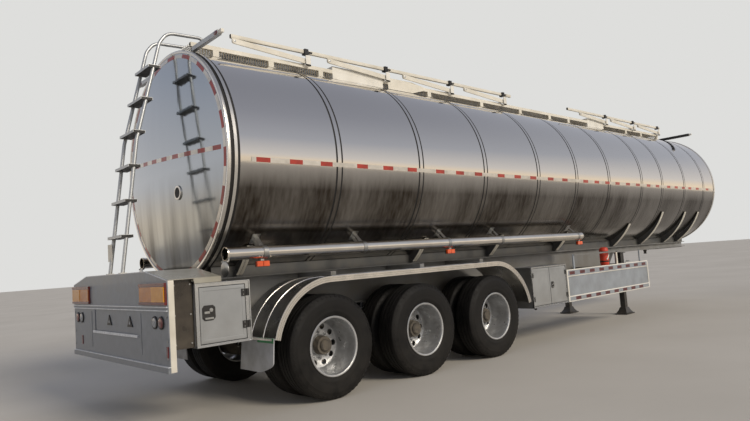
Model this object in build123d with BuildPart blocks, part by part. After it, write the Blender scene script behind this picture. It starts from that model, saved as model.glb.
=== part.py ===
from build123d import *
import math
import os

# Three-axle tanker semi-trailer, parked on its landing legs.
# Millimetres. +X points forward, +Y to the left, +Z up, and the ground is at Z = 0.
# Distances along the trailer are stations: millimetres ahead of the rear axle, negative behind it.

os.makedirs("parts", exist_ok=True)

# Whole vehicle
half_width = 1250
rear_face = -1690
lamp_depth = 25
tank_front = 10970
head_dish = 60
rear_end = rear_face - lamp_depth
front_end = tank_front + head_dish
middle = (rear_end + front_end) / 2
rail_top = 1274
tank_radius = 1195
tank_gap = 2
tank_height = rail_top + tank_gap + tank_radius
tank_top = tank_height + tank_radius
sides = {"right": -1, "left": 1}
joint_gap = 5
pin_gap = 1


def station(ahead_of_rear_axle):
    """Part X of a place given as a distance ahead of the rear axle."""
    return ahead_of_rear_axle - middle


def around(at, half):
    """The two stations at a half length behind and ahead of a place."""
    return (at - half, at + half)


def both(side, inner, outer):
    """The Y limits of something between two distances from the centre line, on one side."""
    return (side * inner, side * outer)


def block(x, y, z, mode=Mode.ADD):
    """A square-edged block between two stations, two Y values and two Z values."""
    with Locations((station(sum(x) / 2), sum(y) / 2, sum(z) / 2)):
        Box(abs(x[1] - x[0]), abs(y[1] - y[0]), abs(z[1] - z[0]), mode=mode)


def flat_sided(radius, facets):
    """A many-sided outline with a flat at the bottom; the radius is to its flats."""
    RegularPolygon(radius, facets, major_radius=False, rotation=180 / facets)


def corners_of(section, facets):
    """Rows of corners round the Y axis; the section lists distance out, radius to the flats."""
    turns = [2 * math.pi * (index + 0.5) / facets for index in range(facets)]
    share = math.cos(math.pi / facets)
    return [[(radius / share * math.cos(turn), distance, radius / share * math.sin(turn)) for turn in turns]
            for distance, radius in section]


def bands_between(rows, next_rows):
    """Flat four-sided faces from each row of corners to the next one."""
    return [Face(Wire.make_polygon([near[n - 1], near[n], far[n], far[n - 1]]))
            for near, far in zip(rows, next_rows) for n in range(len(near))]


def ring(section, facets):
    """A ring of flat facets round the Y axis, closed on itself."""
    rows = corners_of(section, facets)
    return Solid(Shell(bands_between(rows, rows[1:] + rows[:1])))


def dome(section, facets):
    """A solid of flat facets round the Y axis, closed by a flat face at each end."""
    rows = corners_of(section, facets)
    ends = [Face(Wire.make_polygon(row)) for row in (rows[0], rows[-1])]
    return Solid(Shell(bands_between(rows[:-1], rows[1:]) + ends))


def finish(name, label):
    """Names a finished piece and writes it out."""
    name.part.label = label
    export_step(name.part, f"parts/{label}.step")
    print(label, len(name.part.solids()), "solids")


# Axles and wheels
axle_pitch = 1320
axles = {"rear": 0, "middle": axle_pitch, "front": 2 * axle_pitch}
tyre_radius = 520
hub_height = tyre_radius
wheel_sides = 20
hub_sides = 12
outer_tyre_centre = half_width - 142
dual_spacing = 333
inner_tyre_centre = outer_tyre_centre - dual_spacing
tread_half = 108
tyre_half = 139
widest_radius = 408
rim_half_width = 118
bead_half = rim_half_width - 3
bead_radius = 286
rim_flange = 12
rim_outer = outer_tyre_centre + rim_half_width + rim_flange
rim_inner = inner_tyre_centre - rim_half_width
rim_lip_radius = 272
disc_face = outer_tyre_centre - 147
disc_back = disc_face - 32
disc_radius = 236
drum_radius = 205
disc_into_hub = 20
drum_inner = rim_inner - 17
hub_radius = 92
hub_end = disc_face + 112
cap_radius = 60
cap_end = hub_end + 28
spindle_radius = 50
spindle_end = disc_face - 81
spindle_hole = spindle_radius + pin_gap
hand_holes = 10
hand_hole_circle = 190
hand_hole_radius = 29

tyre_ring = ring([(-tyre_half, widest_radius), (-tread_half, tyre_radius), (tread_half, tyre_radius),
                  (tyre_half, widest_radius), (bead_half, bead_radius), (-bead_half, bead_radius)],
                 wheel_sides)
# Rim of the left side: from the inner tyre's bead out to the lip, then back along the dish and the disc
rim_ring = ring([(rim_inner, bead_radius), (rim_outer, bead_radius), (rim_outer, rim_lip_radius),
                 (disc_face, disc_radius), (disc_face, drum_radius - disc_into_hub),
                 (disc_back, drum_radius - disc_into_hub), (disc_back, disc_radius),
                 (rim_inner, rim_lip_radius)], wheel_sides)
hub_ring = ring([(drum_inner, drum_radius), (disc_face, drum_radius), (disc_face, hub_radius),
                 (hub_end, hub_radius), (hub_end, cap_radius), (cap_end, cap_radius),
                 (cap_end, spindle_hole), (drum_inner, spindle_hole)], hub_sides)

with BuildPart() as twin_rims:
    add(rim_ring)
    add(hub_ring)
    with BuildSketch(Plane(origin=(0, disc_face, 0), x_dir=(1, 0, 0), z_dir=(0, 1, 0))):
        with PolarLocations(hand_hole_circle, hand_holes):
            RegularPolygon(hand_hole_radius, 6)
    extrude(amount=disc_back - disc_face, mode=Mode.SUBTRACT)
    # The cap closes the spindle's hole
    with BuildSketch(Plane(origin=(0, cap_end, 0), x_dir=(1, 0, 0), z_dir=(0, 1, 0))):
        flat_sided((spindle_hole + cap_radius) / 2, hub_sides)
    extrude(amount=spindle_end + joint_gap - cap_end)

for axle, at in axles.items():
    for side_name, side in sides.items():
        with BuildPart() as tyres:
            for centre in (inner_tyre_centre, outer_tyre_centre):
                with Locations((station(at), side * centre, hub_height)):
                    add(tyre_ring)
        finish(tyres, f"tyres_{axle}_{side_name}")

        with BuildPart() as rims:
            with Locations((station(at), 0, hub_height)):
                add(twin_rims.part if side > 0 else mirror(twin_rims.part, about=Plane.XZ, mode=Mode.PRIVATE))
        finish(rims, f"rims_{axle}_{side_name}")

# Tank: one turned body with a raised collar at each end and shallow dished heads
collar_radius = tank_radius + 10
tank_rear = -1040
rear_collar = 119
front_collar = 60
head_radius = collar_radius - 25
head_sides = 36
head_into_tank = 20
# Rows of a head's corners: share of the dish, share of the radius
head_rows = [(0, 1), (0.6, 0.62), (1, 0.2)]


def cut_by_tank():
    """Takes away whatever reaches into the tank."""
    with Locations(Location((station((tank_rear + tank_front) / 2), 0, tank_height), (0, 90, 0))):
        Cylinder(tank_radius, tank_front - tank_rear, mode=Mode.SUBTRACT)


def top_of_tank(y):
    """Height of the tank's top at a distance from the centre line."""
    return tank_height + math.sqrt(tank_radius**2 - y**2)


tank_side = [(tank_rear, 0), (tank_rear, collar_radius), (tank_rear + rear_collar, collar_radius),
             (tank_rear + rear_collar, tank_radius), (tank_front - front_collar, tank_radius),
             (tank_front - front_collar, collar_radius), (tank_front, collar_radius), (tank_front, 0)]
tank_head = dome([(-head_into_tank, head_radius)] + [(head_dish * out, head_radius * wide)
                                                     for out, wide in head_rows], head_sides)
with BuildPart() as tank:
    with BuildSketch(Plane.XZ):
        Polygon(*[(station(at), tank_height + radius) for at, radius in tank_side], align=None)
    revolve(axis=Axis((0, 0, tank_height), (1, 0, 0)))
    for end, turn in ((tank_rear, 90), (tank_front, -90)):
        with Locations(Location((station(end), 0, tank_height), (0, 0, turn))):
            add(tank_head)
finish(tank, "tank")

# Chassis: two rails with a deep rear part and a shallow neck
rail_centre = 500
rail_width = 140
rail_web = 8
rail_flange = 14
rail_bottom = rail_top - 414
neck_bottom = rail_top - 114
neck_start = 7250
neck_slope = 300
panel_thickness = 10
panel_back = rear_face + panel_thickness
rail_front = tank_front - 370
web_outer = rail_centre + rail_web / 2
web_inner = rail_centre - rail_web / 2
rail_outer = rail_centre + rail_width / 2
rail_inner = rail_centre - rail_width / 2

with BuildPart() as chassis_rails:
    for side in sides.values():
        # Side view of a rail: station, height, and which way the flange there is thick
        corners = [(panel_back, rail_bottom, 1), (neck_start - neck_slope, rail_bottom, 1),
                   (neck_start, neck_bottom, 1), (rail_front, neck_bottom, 1),
                   (rail_front, rail_top, -1), (panel_back, rail_top, -1)]
        with BuildSketch(Plane.XZ.offset(-side * rail_inner)):
            Polygon(*[(station(at), height) for at, height, inward in corners], align=None)
        extrude(amount=-side * rail_width)
        for face in (rail_inner, web_outer):
            with BuildSketch(Plane.XZ.offset(-side * face)):
                Polygon(*[(station(at), height + inward * rail_flange) for at, height, inward in corners],
                        align=None)
            extrude(amount=-side * (web_inner - rail_inner), mode=Mode.SUBTRACT)
finish(chassis_rails, "chassis_rails")

cross_depth = 120
cross_half = 30
cross_height = rail_bottom + 120
cross_members = [-1500, -1130, 240, 1080, 2400, 3700, 4500, 5000, 5750, 6600]
neck_cross_members = [neck_start + 850, neck_start + 1750, rail_front - 100]
with BuildPart() as cross_beams:
    for at in cross_members:
        block(around(at, cross_half), (-web_inner, web_inner), (cross_height, cross_height + cross_depth))
    for at in neck_cross_members:
        block(around(at, cross_half), (-web_inner, web_inner),
              (neck_bottom + rail_flange, rail_top - rail_flange))
finish(cross_beams, "cross_beams")

# Brackets: spring hangers under the rails, outriggers and fender supports out from their webs
beam = 140
leaf_thickness = 16
leaf_width = 80
camber = 60
# Shares of a leaf's half length where it bends; each of the last three is a leaf's end
leaf_bends = [0.3, 0.55, 0.78, 1.0]
leaf_ends = leaf_bends[1:]
spring_seat = hub_height + beam / 2
spring_top = spring_seat + camber + leaf_thickness * len(leaf_ends)
hanger_half_width = 45
hanger_half_length = 55
hangers = [-axle_pitch / 2, axle_pitch / 2, axle_pitch * 3 / 2, axle_pitch * 5 / 2]
box_face = half_width - 14
box_inner = box_face - 450
guard_inner = half_width - 30
outrigger = 50
outrigger_height = rail_bottom + 65
rear_box_top = outrigger_height + 325
extinguisher_station = 5845
# Outriggers to the boxes and guards: station, how far out they reach
outriggers = [(-1380, box_inner), (-1010, box_inner), (3640, box_inner), (4260, box_inner),
              (4620, guard_inner), (extinguisher_station, guard_inner), (6900, guard_inner)]
fender_support = 45
fender_top = rail_top - rail_flange - fender_support
fender_supports = [150, 1480, 2600]
fender_support_half = 35
fender_support_end = half_width - 150

with BuildPart() as chassis_brackets:
    for side in sides.values():
        for at in hangers:
            block(around(at, hanger_half_length),
                  both(side, rail_centre - hanger_half_width, rail_centre + hanger_half_width),
                  (spring_top, rail_bottom))
        for at, reach in outriggers:
            block(around(at, outrigger / 2), both(side, web_outer, reach),
                  (outrigger_height, outrigger_height + outrigger))
        for at in fender_supports:
            block(around(at, fender_support_half), both(side, web_outer, fender_support_end),
                  (fender_top, fender_top + fender_support))
finish(chassis_brackets, "chassis_brackets")

# Coupler plate and kingpin
coupler_thickness = 10
coupler_rear = rail_front - 1300
coupler_front = rail_front - 40
coupler_half_width = 520
coupler_face = neck_bottom - coupler_thickness
kingpin_station = rail_front - 750
kingpin_seat = 85
kingpin_seat_thickness = 8
# Kingpin from the seat down: length of each stretch, its radius
kingpin_stretches = [(35, 36.5), (35, 25.4), (14, 35.7)]

with BuildPart() as coupler_plate:
    block((coupler_rear, coupler_front), (-coupler_half_width, coupler_half_width),
          (coupler_face, neck_bottom))
    depth = coupler_face - kingpin_seat_thickness
    with BuildSketch(Plane.XY.offset(depth)):
        with Locations((station(kingpin_station), 0)):
            flat_sided(kingpin_seat, hub_sides)
    extrude(amount=kingpin_seat_thickness)
    for length, radius in kingpin_stretches:
        with BuildSketch(Plane.XY.offset(depth - length)):
            with Locations((station(kingpin_station), 0)):
                Circle(radius)
        extrude(amount=length)
        depth -= length
finish(coupler_plate, "coupler_plate")

# Landing legs: plate under the rail, outer tube, inner tube, flared sand foot
leg_station = neck_start + 180
leg_spread = 580
leg_tube = 120
leg_inner = 96
leg_sleeve_foot = 470
leg_plate = 14
leg_plate_long = 220
leg_plate_wide = 160
foot_height = 20
foot_neck = 130
foot_long = 320
foot_wide = 240
leg_shaft = 16
leg_shaft_height = 760
gearbox_long = 150
gearbox_out = 60
gearbox_low = leg_shaft_height - 90
gearbox_high = leg_shaft_height + 110


def leg_block(y, long, wide, z):
    """A block centred on a landing leg."""
    block(around(leg_station, long / 2), (y - wide / 2, y + wide / 2), z)


with BuildPart() as landing_legs:
    for side in sides.values():
        y = side * leg_spread
        leg_block(y, leg_plate_long, leg_plate_wide, (neck_bottom - leg_plate, neck_bottom))
        leg_block(y, leg_tube, leg_tube, (leg_sleeve_foot, neck_bottom - leg_plate))
        leg_block(y, leg_inner, leg_inner, (foot_neck, leg_sleeve_foot))
        leg_block(y, foot_long, foot_wide, (0, foot_height))
        flare = foot_neck - foot_height
        with Locations((station(leg_station), y, foot_height + flare / 2)):
            Wedge(foot_long, flare, foot_wide, (foot_long - leg_inner) / 2, (foot_wide - leg_inner) / 2,
                  (foot_long + leg_inner) / 2, (foot_wide + leg_inner) / 2, rotation=(90, 0, 0))
    with BuildSketch(Plane.XZ.offset(leg_spread)):
        with Locations((station(leg_station), leg_shaft_height)):
            RegularPolygon(leg_shaft, 8)
    extrude(amount=-2 * leg_spread)
    gearbox_inner = leg_spread + leg_tube / 2
    block(around(leg_station, gearbox_long / 2),
          both(sides["right"], gearbox_inner, gearbox_inner + gearbox_out), (gearbox_low, gearbox_high))
finish(landing_legs, "landing_legs")

# Tank supports: sills on the rails, and wings that follow the tank's side
sill = 10
sill_rear = tank_rear + rear_collar + joint_gap
sill_front = tank_front - 320
wing_thickness = 12
wing_edge_half = 35
wing_edge_thickness = 6
wing_root = rail_top + 16
wing_tip_gap = 22
wing_bends = 3
web_gap = 1
web_bends = 6
# Wings: station, angle of the tip from straight down
wings = [(-640, 42), (1900, 42), (3500, 42), (5300, 42), (tank_front - 3670, 49), (tank_front - 2520, 61),
         (tank_front - 1420, 61), (tank_front - 720, 61)]


def around_tank(gap, angle, side):
    """A point at a distance outside the tank's surface, at an angle from straight down."""
    reach = tank_radius + gap
    return (side * reach * math.sin(math.radians(angle)), tank_height - reach * math.cos(math.radians(angle)))


root_gap = math.hypot(rail_outer, tank_height - wing_root) - tank_radius
sill_angle = math.degrees(math.asin(rail_centre / tank_radius))
root_angle = math.degrees(math.atan2(rail_outer, tank_height - wing_root))
with BuildPart() as tank_supports:
    for side in sides.values():
        block((sill_rear, sill_front), both(side, rail_centre - sill / 2, rail_centre + sill / 2),
              (rail_top, tank_height))
        for at, tip_angle in wings:
            shares = [n / wing_bends for n in range(wing_bends + 1)]
            bends = [(root_gap + share * (wing_tip_gap - root_gap),
                      root_angle + share * (tip_angle - root_angle)) for share in shares]
            outer = [around_tank(gap, angle, side) for gap, angle in bends]
            inner = [around_tank(gap - wing_edge_thickness, angle, side) for gap, angle in bends]
            # The web's upper edge goes round the tank in flats that stay clear of it
            flat = (tip_angle - sill_angle) / web_bends
            corner_gap = (tank_radius + web_gap) / math.cos(math.radians(flat / 2)) - tank_radius
            upper = [around_tank(corner_gap, tip_angle - flat * n, side) for n in range(web_bends + 1)]
            web = outer + upper + [(side * rail_centre, rail_top), (side * rail_outer, rail_top)]
            with BuildSketch(Plane.YZ.offset(station(at - wing_thickness / 2))):
                Polygon(*web, align=None)
            extrude(amount=wing_thickness)
            with BuildSketch(Plane.YZ.offset(station(at - wing_edge_half))):
                Polygon(*outer, *inner[::-1], align=None)
            extrude(amount=2 * wing_edge_half)
    cut_by_tank()
finish(tank_supports, "tank_supports")

# Rear end: panel with posts, deck behind the tank, lamps
deck_shoulder = 800
deck_edge = rail_top + 26
deck_top = deck_edge + 85
deck_thickness = 6
deck_front = -1200
deck_ribs = [-1456, -1220]
ledge_height = deck_edge - 225
ledge_depth = 12
ledge_above = 9
ledge_below = 30
sheet_step = 2
lower_face = rear_face + sheet_step
recess_half_width = 575
recess_top = ledge_height - ledge_below
recess_bottom = recess_top - 228
recess_depth = 6
recess_ledge = 24
post_width = 50
post_front = panel_back + 50
bar_face = rear_face - 14
bar_bottom = 545
bar_top = 600
bar_depth = 54
side_sheet = 10
side_sheet_bottom = 720

with BuildPart() as rear_panel:
    upper = [(-half_width, ledge_height), (half_width, ledge_height), (half_width, deck_edge),
             (deck_shoulder, deck_top), (-deck_shoulder, deck_top), (-half_width, deck_edge)]
    with BuildSketch(Plane.YZ.offset(station(rear_face))):
        Polygon(*upper, align=None)
    extrude(amount=panel_thickness)
    block((lower_face, panel_back), (-half_width, half_width), (bar_top, ledge_height))
    block((lower_face, lower_face + recess_depth), (-recess_half_width, recess_half_width),
          (recess_bottom, recess_top), mode=Mode.SUBTRACT)
    block((rear_face - ledge_depth, rear_face), (-half_width, half_width),
          (ledge_height - ledge_below, ledge_height + ledge_above))
    block((rear_face - ledge_depth, lower_face),
          (-recess_half_width - recess_ledge, recess_half_width + recess_ledge),
          (recess_bottom - recess_ledge / 2, recess_bottom + recess_ledge / 2))
    block((bar_face, bar_face + bar_depth), (-half_width, half_width), (bar_bottom, bar_top))
    # Corner posts behind the panel's side edges
    for side in sides.values():
        block((panel_back, post_front), both(side, half_width - post_width, half_width),
              (bar_bottom, deck_edge - deck_thickness))
finish(rear_panel, "rear_panel")

with BuildPart() as rear_deck:
    underside = [(-half_width, deck_edge - deck_thickness), (-deck_shoulder, deck_top - deck_thickness),
                 (deck_shoulder, deck_top - deck_thickness), (half_width, deck_edge - deck_thickness)]
    upperside = [(half_width, deck_edge), (deck_shoulder, deck_top), (-deck_shoulder, deck_top),
                 (-half_width, deck_edge)]
    with BuildSketch(Plane.YZ.offset(station(panel_back))):
        Polygon(*underside, *upperside, align=None)
    extrude(amount=deck_front - panel_back)
    for at in deck_ribs:
        with BuildSketch(Plane.YZ.offset(station(at))):
            Polygon((-half_width, rail_top), *underside, (half_width, rail_top), align=None)
        extrude(amount=deck_thickness)
    # Dark side panels between the rear posts and the toolboxes
    for side in sides.values():
        block((post_front, deck_ribs[0] + deck_thickness),
              both(side, half_width - post_width - side_sheet, half_width - post_width),
              (side_sheet_bottom, deck_edge - deck_thickness / 2))
finish(rear_deck, "rear_deck")

tail_lamp_inner = half_width - 560
tail_lamp_outer = half_width - 5
tail_lamp_edge = 22
round_lamp_radius = 55
round_lamps = [half_width - 268, half_width - 137]
round_lamp_height = ledge_height - 126
round_lamp_depth = 18
with BuildPart() as tail_lamps:
    for side in sides.values():
        block((rear_end, rear_face), both(side, tail_lamp_inner, tail_lamp_outer),
              (ledge_height + tail_lamp_edge, deck_edge - tail_lamp_edge))
        for out in round_lamps:
            with BuildSketch(Plane.YZ.offset(station(lower_face - round_lamp_depth))):
                with Locations((side * out, round_lamp_height)):
                    flat_sided(round_lamp_radius, hub_sides)
            extrude(amount=round_lamp_depth)
finish(tail_lamps, "tail_lamps")

# Ladder up the rear head, bent over onto the walkway
walk_top = tank_top + 34
ladder_half = 170
ladder_tube = 16
ladder_sides = 6
step_depth = 120
step_thickness = 28
step_overhang = 30
ladder_below = 40
# Side view of a ladder rail: station, height
ladder_route = [(-1655, deck_top - ladder_below), (-1470, tank_height + 229), (-1215, walk_top + 5),
                (-1145, walk_top + 112), (-1062, walk_top + 152), (-735, walk_top + 166),
                (-690, walk_top + 122), (-690, walk_top)]
step_count = 6
step_pitch = 345
first_step = deck_top + 355
steps = [first_step + step_pitch * n for n in range(step_count)]

with BuildPart() as ladder:
    for side in sides.values():
        with BuildLine(Plane.XZ.offset(-side * ladder_half)) as route:
            Polyline(*[(station(at), height) for at, height in ladder_route])
        path = route.wires()[0]
        with BuildSketch(Plane(origin=path.position_at(0), z_dir=path.tangent_at(0))):
            RegularPolygon(ladder_tube, ladder_sides)
        sweep(path=path, transition=Transition.RIGHT)
    for height in steps:
        lower = 0 if height < ladder_route[1][1] else 1
        (near_station, near_height), (far_station, far_height) = ladder_route[lower:lower + 2]
        share = (height - near_height) / (far_height - near_height)
        block(around(near_station + (far_station - near_station) * share, step_depth / 2),
              (-ladder_half - step_overhang, ladder_half + step_overhang),
              (height - step_thickness / 2, height + step_thickness / 2))
    # The rails stand flat on the deck
    block((rear_face, deck_front), (-half_width, half_width),
          (deck_top - 2 * ladder_below, deck_top), mode=Mode.SUBTRACT)
finish(ladder, "ladder")

# Walkway on the top of the tank
walk_half = 430
walk_rear = -980
walk_front = tank_front - 820
deck_plate = 10
side_beam = 36
side_beam_height = 45
stanchion_half = 35
stanchions = [-700, -20, 680, 2600, 3790, 4820, 5710, 6340,
              walk_front - 1550, walk_front - 850, walk_front - 40]
under_walk = tank_height + tank_radius / 2
# Spill boxes: rear end, front end, station of the manhole
spill_boxes = {"rear": (860, 1700, 1280),
               "front": (walk_front - 3130, walk_front - 2510, walk_front - 2820)}
deck_spans = [(walk_rear, spill_boxes["rear"][0]), (spill_boxes["rear"][1], spill_boxes["front"][0]),
              (spill_boxes["front"][1], walk_front)]
# Folding handrails: station of a group's first hinge, number of hoops, their pitch,
# rail's rear end, front end
rail_groups = {"rear": (460, 4, 1290, -520, 4560),
               "front": (walk_front - 2450, 3, 1200, walk_front - 3820, walk_front + 100)}
foot_shaft = 14
foot_pin_height = walk_top + 25
bearing_half = 25
bearing_width = 30

with BuildPart() as walkway:
    for start, end in deck_spans:
        block((start, end), (-walk_half + side_beam, walk_half - side_beam),
              (walk_top - deck_plate, walk_top))
    for side in sides.values():
        for start, end in deck_spans:
            block((start, end), both(side, walk_half - side_beam, walk_half),
                  (walk_top - side_beam_height, walk_top))
        for at in stanchions:
            block(around(at, stanchion_half), both(side, walk_half - side_beam, walk_half),
                  (under_walk, walk_top - side_beam_height))
        # Bearings under the handrail hinges
        for first_hinge, count, pitch, rear, front in rail_groups.values():
            for index in range(count):
                block(around(first_hinge + index * pitch, bearing_half),
                      both(side, walk_half - bearing_width, walk_half),
                      (walk_top, foot_pin_height - foot_shaft - pin_gap))
    cut_by_tank()
finish(walkway, "walkway")

# Manholes: a neck in an open spill box, and a lid hinged between two ears
spill_wall = 10
spill_top = walk_top + 45
neck_radius = 250
neck_sides = 20
lid_radius = 265
lid_thickness = 26
lid_bottom = walk_top + joint_gap
lid_top = lid_bottom + lid_thickness
lid_pin_ahead = 20
lid_pin_height = lid_top + 4
lid_lug = 30
lid_lug_half = 40
lid_ear = 10
lid_ear_half = 15
lid_ear_inner = lid_lug_half + joint_gap

with BuildPart() as manholes:
    for rear, front, centre in spill_boxes.values():
        block((rear, front), (-walk_half, walk_half), (under_walk, spill_top))
        block((rear + spill_wall, front - spill_wall), (-walk_half + spill_wall, walk_half - spill_wall),
              (tank_height, spill_top), mode=Mode.SUBTRACT)
        with BuildSketch(Plane.XY.offset(under_walk)):
            with Locations((station(centre), 0)):
                flat_sided(neck_radius, neck_sides)
        extrude(amount=walk_top - under_walk)
        for side in sides.values():
            block(around(centre + lid_radius + lid_pin_ahead, lid_ear_half),
                  both(side, lid_ear_inner, lid_ear_inner + lid_ear), (under_walk, lid_pin_height + lid_ear))
    cut_by_tank()
finish(manholes, "manholes")

for name, (rear, front, centre) in spill_boxes.items():
    with BuildPart() as lid:
        with BuildSketch(Plane.XY.offset(lid_bottom)):
            with Locations((station(centre), 0)):
                RegularPolygon(lid_radius, neck_sides)
        extrude(amount=lid_thickness)
        block(around(centre + lid_radius, lid_lug), (-lid_lug_half, lid_lug_half), (lid_bottom, lid_top))
    finish(lid, f"manhole_lid_{name}")

# Hoops of the handrails: two arms on a cross shaft, lying to the rear. They carry a rail on each side.
hoop_reach = 950
handrail_bottom = spill_top + 87
head_pin_height = handrail_bottom - 42
arm_inner = walk_half + 20
arm_thickness = 18
arm_depth = 44
arm_end = 22
handrail_outer = arm_inner - joint_gap
handrail_section = 36
rail_lug = 40
rail_lug_thickness = 12

for name, (first_hinge, count, pitch, rear, front) in rail_groups.items():
    for index in range(count):
        foot = first_hinge + index * pitch
        head = foot - hoop_reach
        with BuildPart() as hoop:
            for side in sides.values():
                outline = [(foot + arm_end, foot_pin_height - arm_depth / 2),
                           (foot + arm_end, foot_pin_height + arm_depth / 2),
                           (head - arm_end, head_pin_height + arm_depth / 2),
                           (head - arm_end, head_pin_height - arm_depth / 2)]
                with BuildSketch(Plane.XZ.offset(-side * arm_inner)):
                    Polygon(*[(station(at), height) for at, height in outline], align=None)
                extrude(amount=-side * arm_thickness)
            with BuildSketch(Plane.XZ.offset(arm_inner)):
                with Locations((station(foot), foot_pin_height)):
                    RegularPolygon(foot_shaft, 8)
            extrude(amount=-2 * arm_inner)
        finish(hoop, f"rail_hoop_{name}_{index + 1}")
    with BuildPart() as handrail:
        for side in sides.values():
            block((rear, front), both(side, handrail_outer - handrail_section, handrail_outer),
                  (handrail_bottom, handrail_bottom + handrail_section))
            for index in range(count):
                head = first_hinge + index * pitch - hoop_reach
                block(around(head, rail_lug / 2),
                      both(side, handrail_outer - rail_lug_thickness, handrail_outer),
                      (head_pin_height - rail_lug / 2, handrail_bottom))
    finish(handrail, f"handrail_{name}")

# Outline lamp arms at both ends of the walkway: station, inner end, outer end, height
arm_tube = 56
outline_lamp = 60
front_arm_inner = 180
outline_arms = [(walk_rear + 30, walk_half, 1000, walk_top - 72),
                (tank_front - 270, front_arm_inner, 890, top_of_tank(front_arm_inner))]
with BuildPart() as outline_lamp_arms:
    for at, inner_end, outer_end, height in outline_arms:
        for side in sides.values():
            block(around(at, arm_tube / 2), both(side, inner_end, outer_end),
                  (height - arm_tube / 2, height + arm_tube / 2))
            block(around(at, outline_lamp / 2), both(side, outer_end, outer_end + outline_lamp),
                  (height - outline_lamp / 2, height + outline_lamp / 2))
    cut_by_tank()
finish(outline_lamp_arms, "outline_lamp_arms")

# Hose tubes along both sides on arms to the tank, with ears for the cap's hinge at the open rear end
hose_out = 1000
hose_over_boxes = 245
hose_height = rear_box_top + hose_over_boxes
hose_radius = 63
hose_wall = 3
hose_sides = 16
hose_rear = -1020
hose_front = 5330
hose_arms = [-610, 660, 2070, 3170, 5200]
hose_arm_width = 50
hose_arm_thickness = 14
hose_arm_reach = 400
cap_pin_height = hose_height - hose_radius - 8
cap_thickness = 8
cap_face = hose_rear - joint_gap
cap_pin = cap_face - cap_thickness / 2
cap_disc_radius = hose_radius + 12
cap_ear_inner = 50
cap_ear = 6
cap_ear_long = 12

with BuildPart() as hose_tubes:
    for side in sides.values():
        with BuildSketch(Plane.YZ.offset(station(hose_rear))):
            with Locations((side * hose_out, hose_height)):
                flat_sided(hose_radius, hose_sides)
        extrude(amount=hose_front - hose_rear)
        for at in hose_arms:
            arm = Plane(origin=(station(at), side * hose_out, hose_height), x_dir=(1, 0, 0),
                        z_dir=(0, -side * hose_out, tank_height - hose_height))
            with BuildSketch(arm):
                Rectangle(hose_arm_width, hose_arm_thickness)
            extrude(amount=hose_arm_reach)
        # Each ear stands on the tube and reaches back to the pin
        for out in (hose_out - cap_ear_inner - cap_ear, hose_out + cap_ear_inner):
            block((hose_rear, hose_rear + cap_ear_long), both(side, out, out + cap_ear),
                  (cap_pin_height - cap_ear, hose_height))
            block((cap_pin - cap_ear, hose_rear), both(side, out, out + cap_ear),
                  (cap_pin_height - cap_ear, cap_pin_height + cap_ear))
    cut_by_tank()
    for side in sides.values():
        with BuildSketch(Plane.YZ.offset(station(hose_rear))):
            with Locations((side * hose_out, hose_height)):
                flat_sided(hose_radius - hose_wall, hose_sides)
        extrude(amount=hose_front - hose_wall - hose_rear, mode=Mode.SUBTRACT)
finish(hose_tubes, "hose_tubes")

# Caps hang open below the tubes' ends, each on a knuckle between the ears
cap_knuckle = cap_ear_inner - joint_gap
for side_name, side in sides.items():
    with BuildPart() as cap:
        with BuildSketch(Plane.YZ.offset(station(cap_face - cap_thickness))):
            with Locations((side * hose_out, 2 * cap_pin_height - hose_height)):
                flat_sided(cap_disc_radius, hose_sides)
        extrude(amount=cap_thickness)
        block(around(cap_pin, cap_thickness / 2), both(side, hose_out - cap_knuckle, hose_out + cap_knuckle),
              (cap_pin_height - cap_thickness / 2, cap_pin_height + cap_thickness / 2))
    finish(cap, f"hose_cap_{side_name}")

# Side marker lamps on stems under the hose tubes
marker_stations = [-630, 2110, 5270]
marker_half = 55
marker_inner = hose_out - 20
marker_outer = hose_out + 25
marker_top = hose_height - 90
marker_height = 40
marker_stem = 12
with BuildPart() as side_marker_lamps:
    for side in sides.values():
        for at in marker_stations:
            block(around(at, marker_half), both(side, marker_inner, marker_outer),
                  (marker_top - marker_height, marker_top))
            block(around(at, marker_stem), both(side, hose_out - marker_stem, hose_out + marker_stem),
                  (marker_top, hose_height - hose_radius))
finish(side_marker_lamps, "side_marker_lamps")

# Fenders: one sheet over the three wheels of each side, with a trim strip along its outer edge
fender_sheet = 6
fender_trim_depth = 60
fender_trim_width = 12
fender_inner = inner_tyre_centre - 135
fender_radius = fender_top - hub_height + 15
bend_steps = 8
# Bends from the front end: station of the centre, radius,
# angles from straight ahead where the bend starts, ends
fender_bends = [(axles["front"] + 60, fender_radius + 35, 12, 90), (axles["rear"], fender_radius, 90, 166)]


def fender_edge(depth):
    """The fender's side view at a depth under its outer surface, from its front end to its rear end."""
    points = []
    for at, radius, start, end in fender_bends:
        for step in range(bend_steps + 1):
            angle = math.radians(start + (end - start) * step / bend_steps)
            points.append((station(at) + (radius - depth) * math.cos(angle),
                           fender_top - radius + (radius - depth) * math.sin(angle)))
    return points


# Bands: distance from the centre line of the inner edge, depth under the outer surface
fender_bands = [(fender_inner, fender_sheet), (half_width - fender_trim_width, fender_trim_depth)]
with BuildPart() as fenders:
    for side in sides.values():
        for inner_edge, depth in fender_bands:
            with BuildSketch(Plane.XZ.offset(-side * inner_edge)):
                Polygon(*fender_edge(0), *fender_edge(depth)[::-1], align=None)
            extrude(amount=-side * (half_width - inner_edge))
finish(fenders, "fenders")

# Mud flaps on the rear ends of the fenders
flap_thickness = 10
fender_end_x, fender_end_height = fender_edge(0)[-1]
flap_top = fender_end_height + 13
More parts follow.
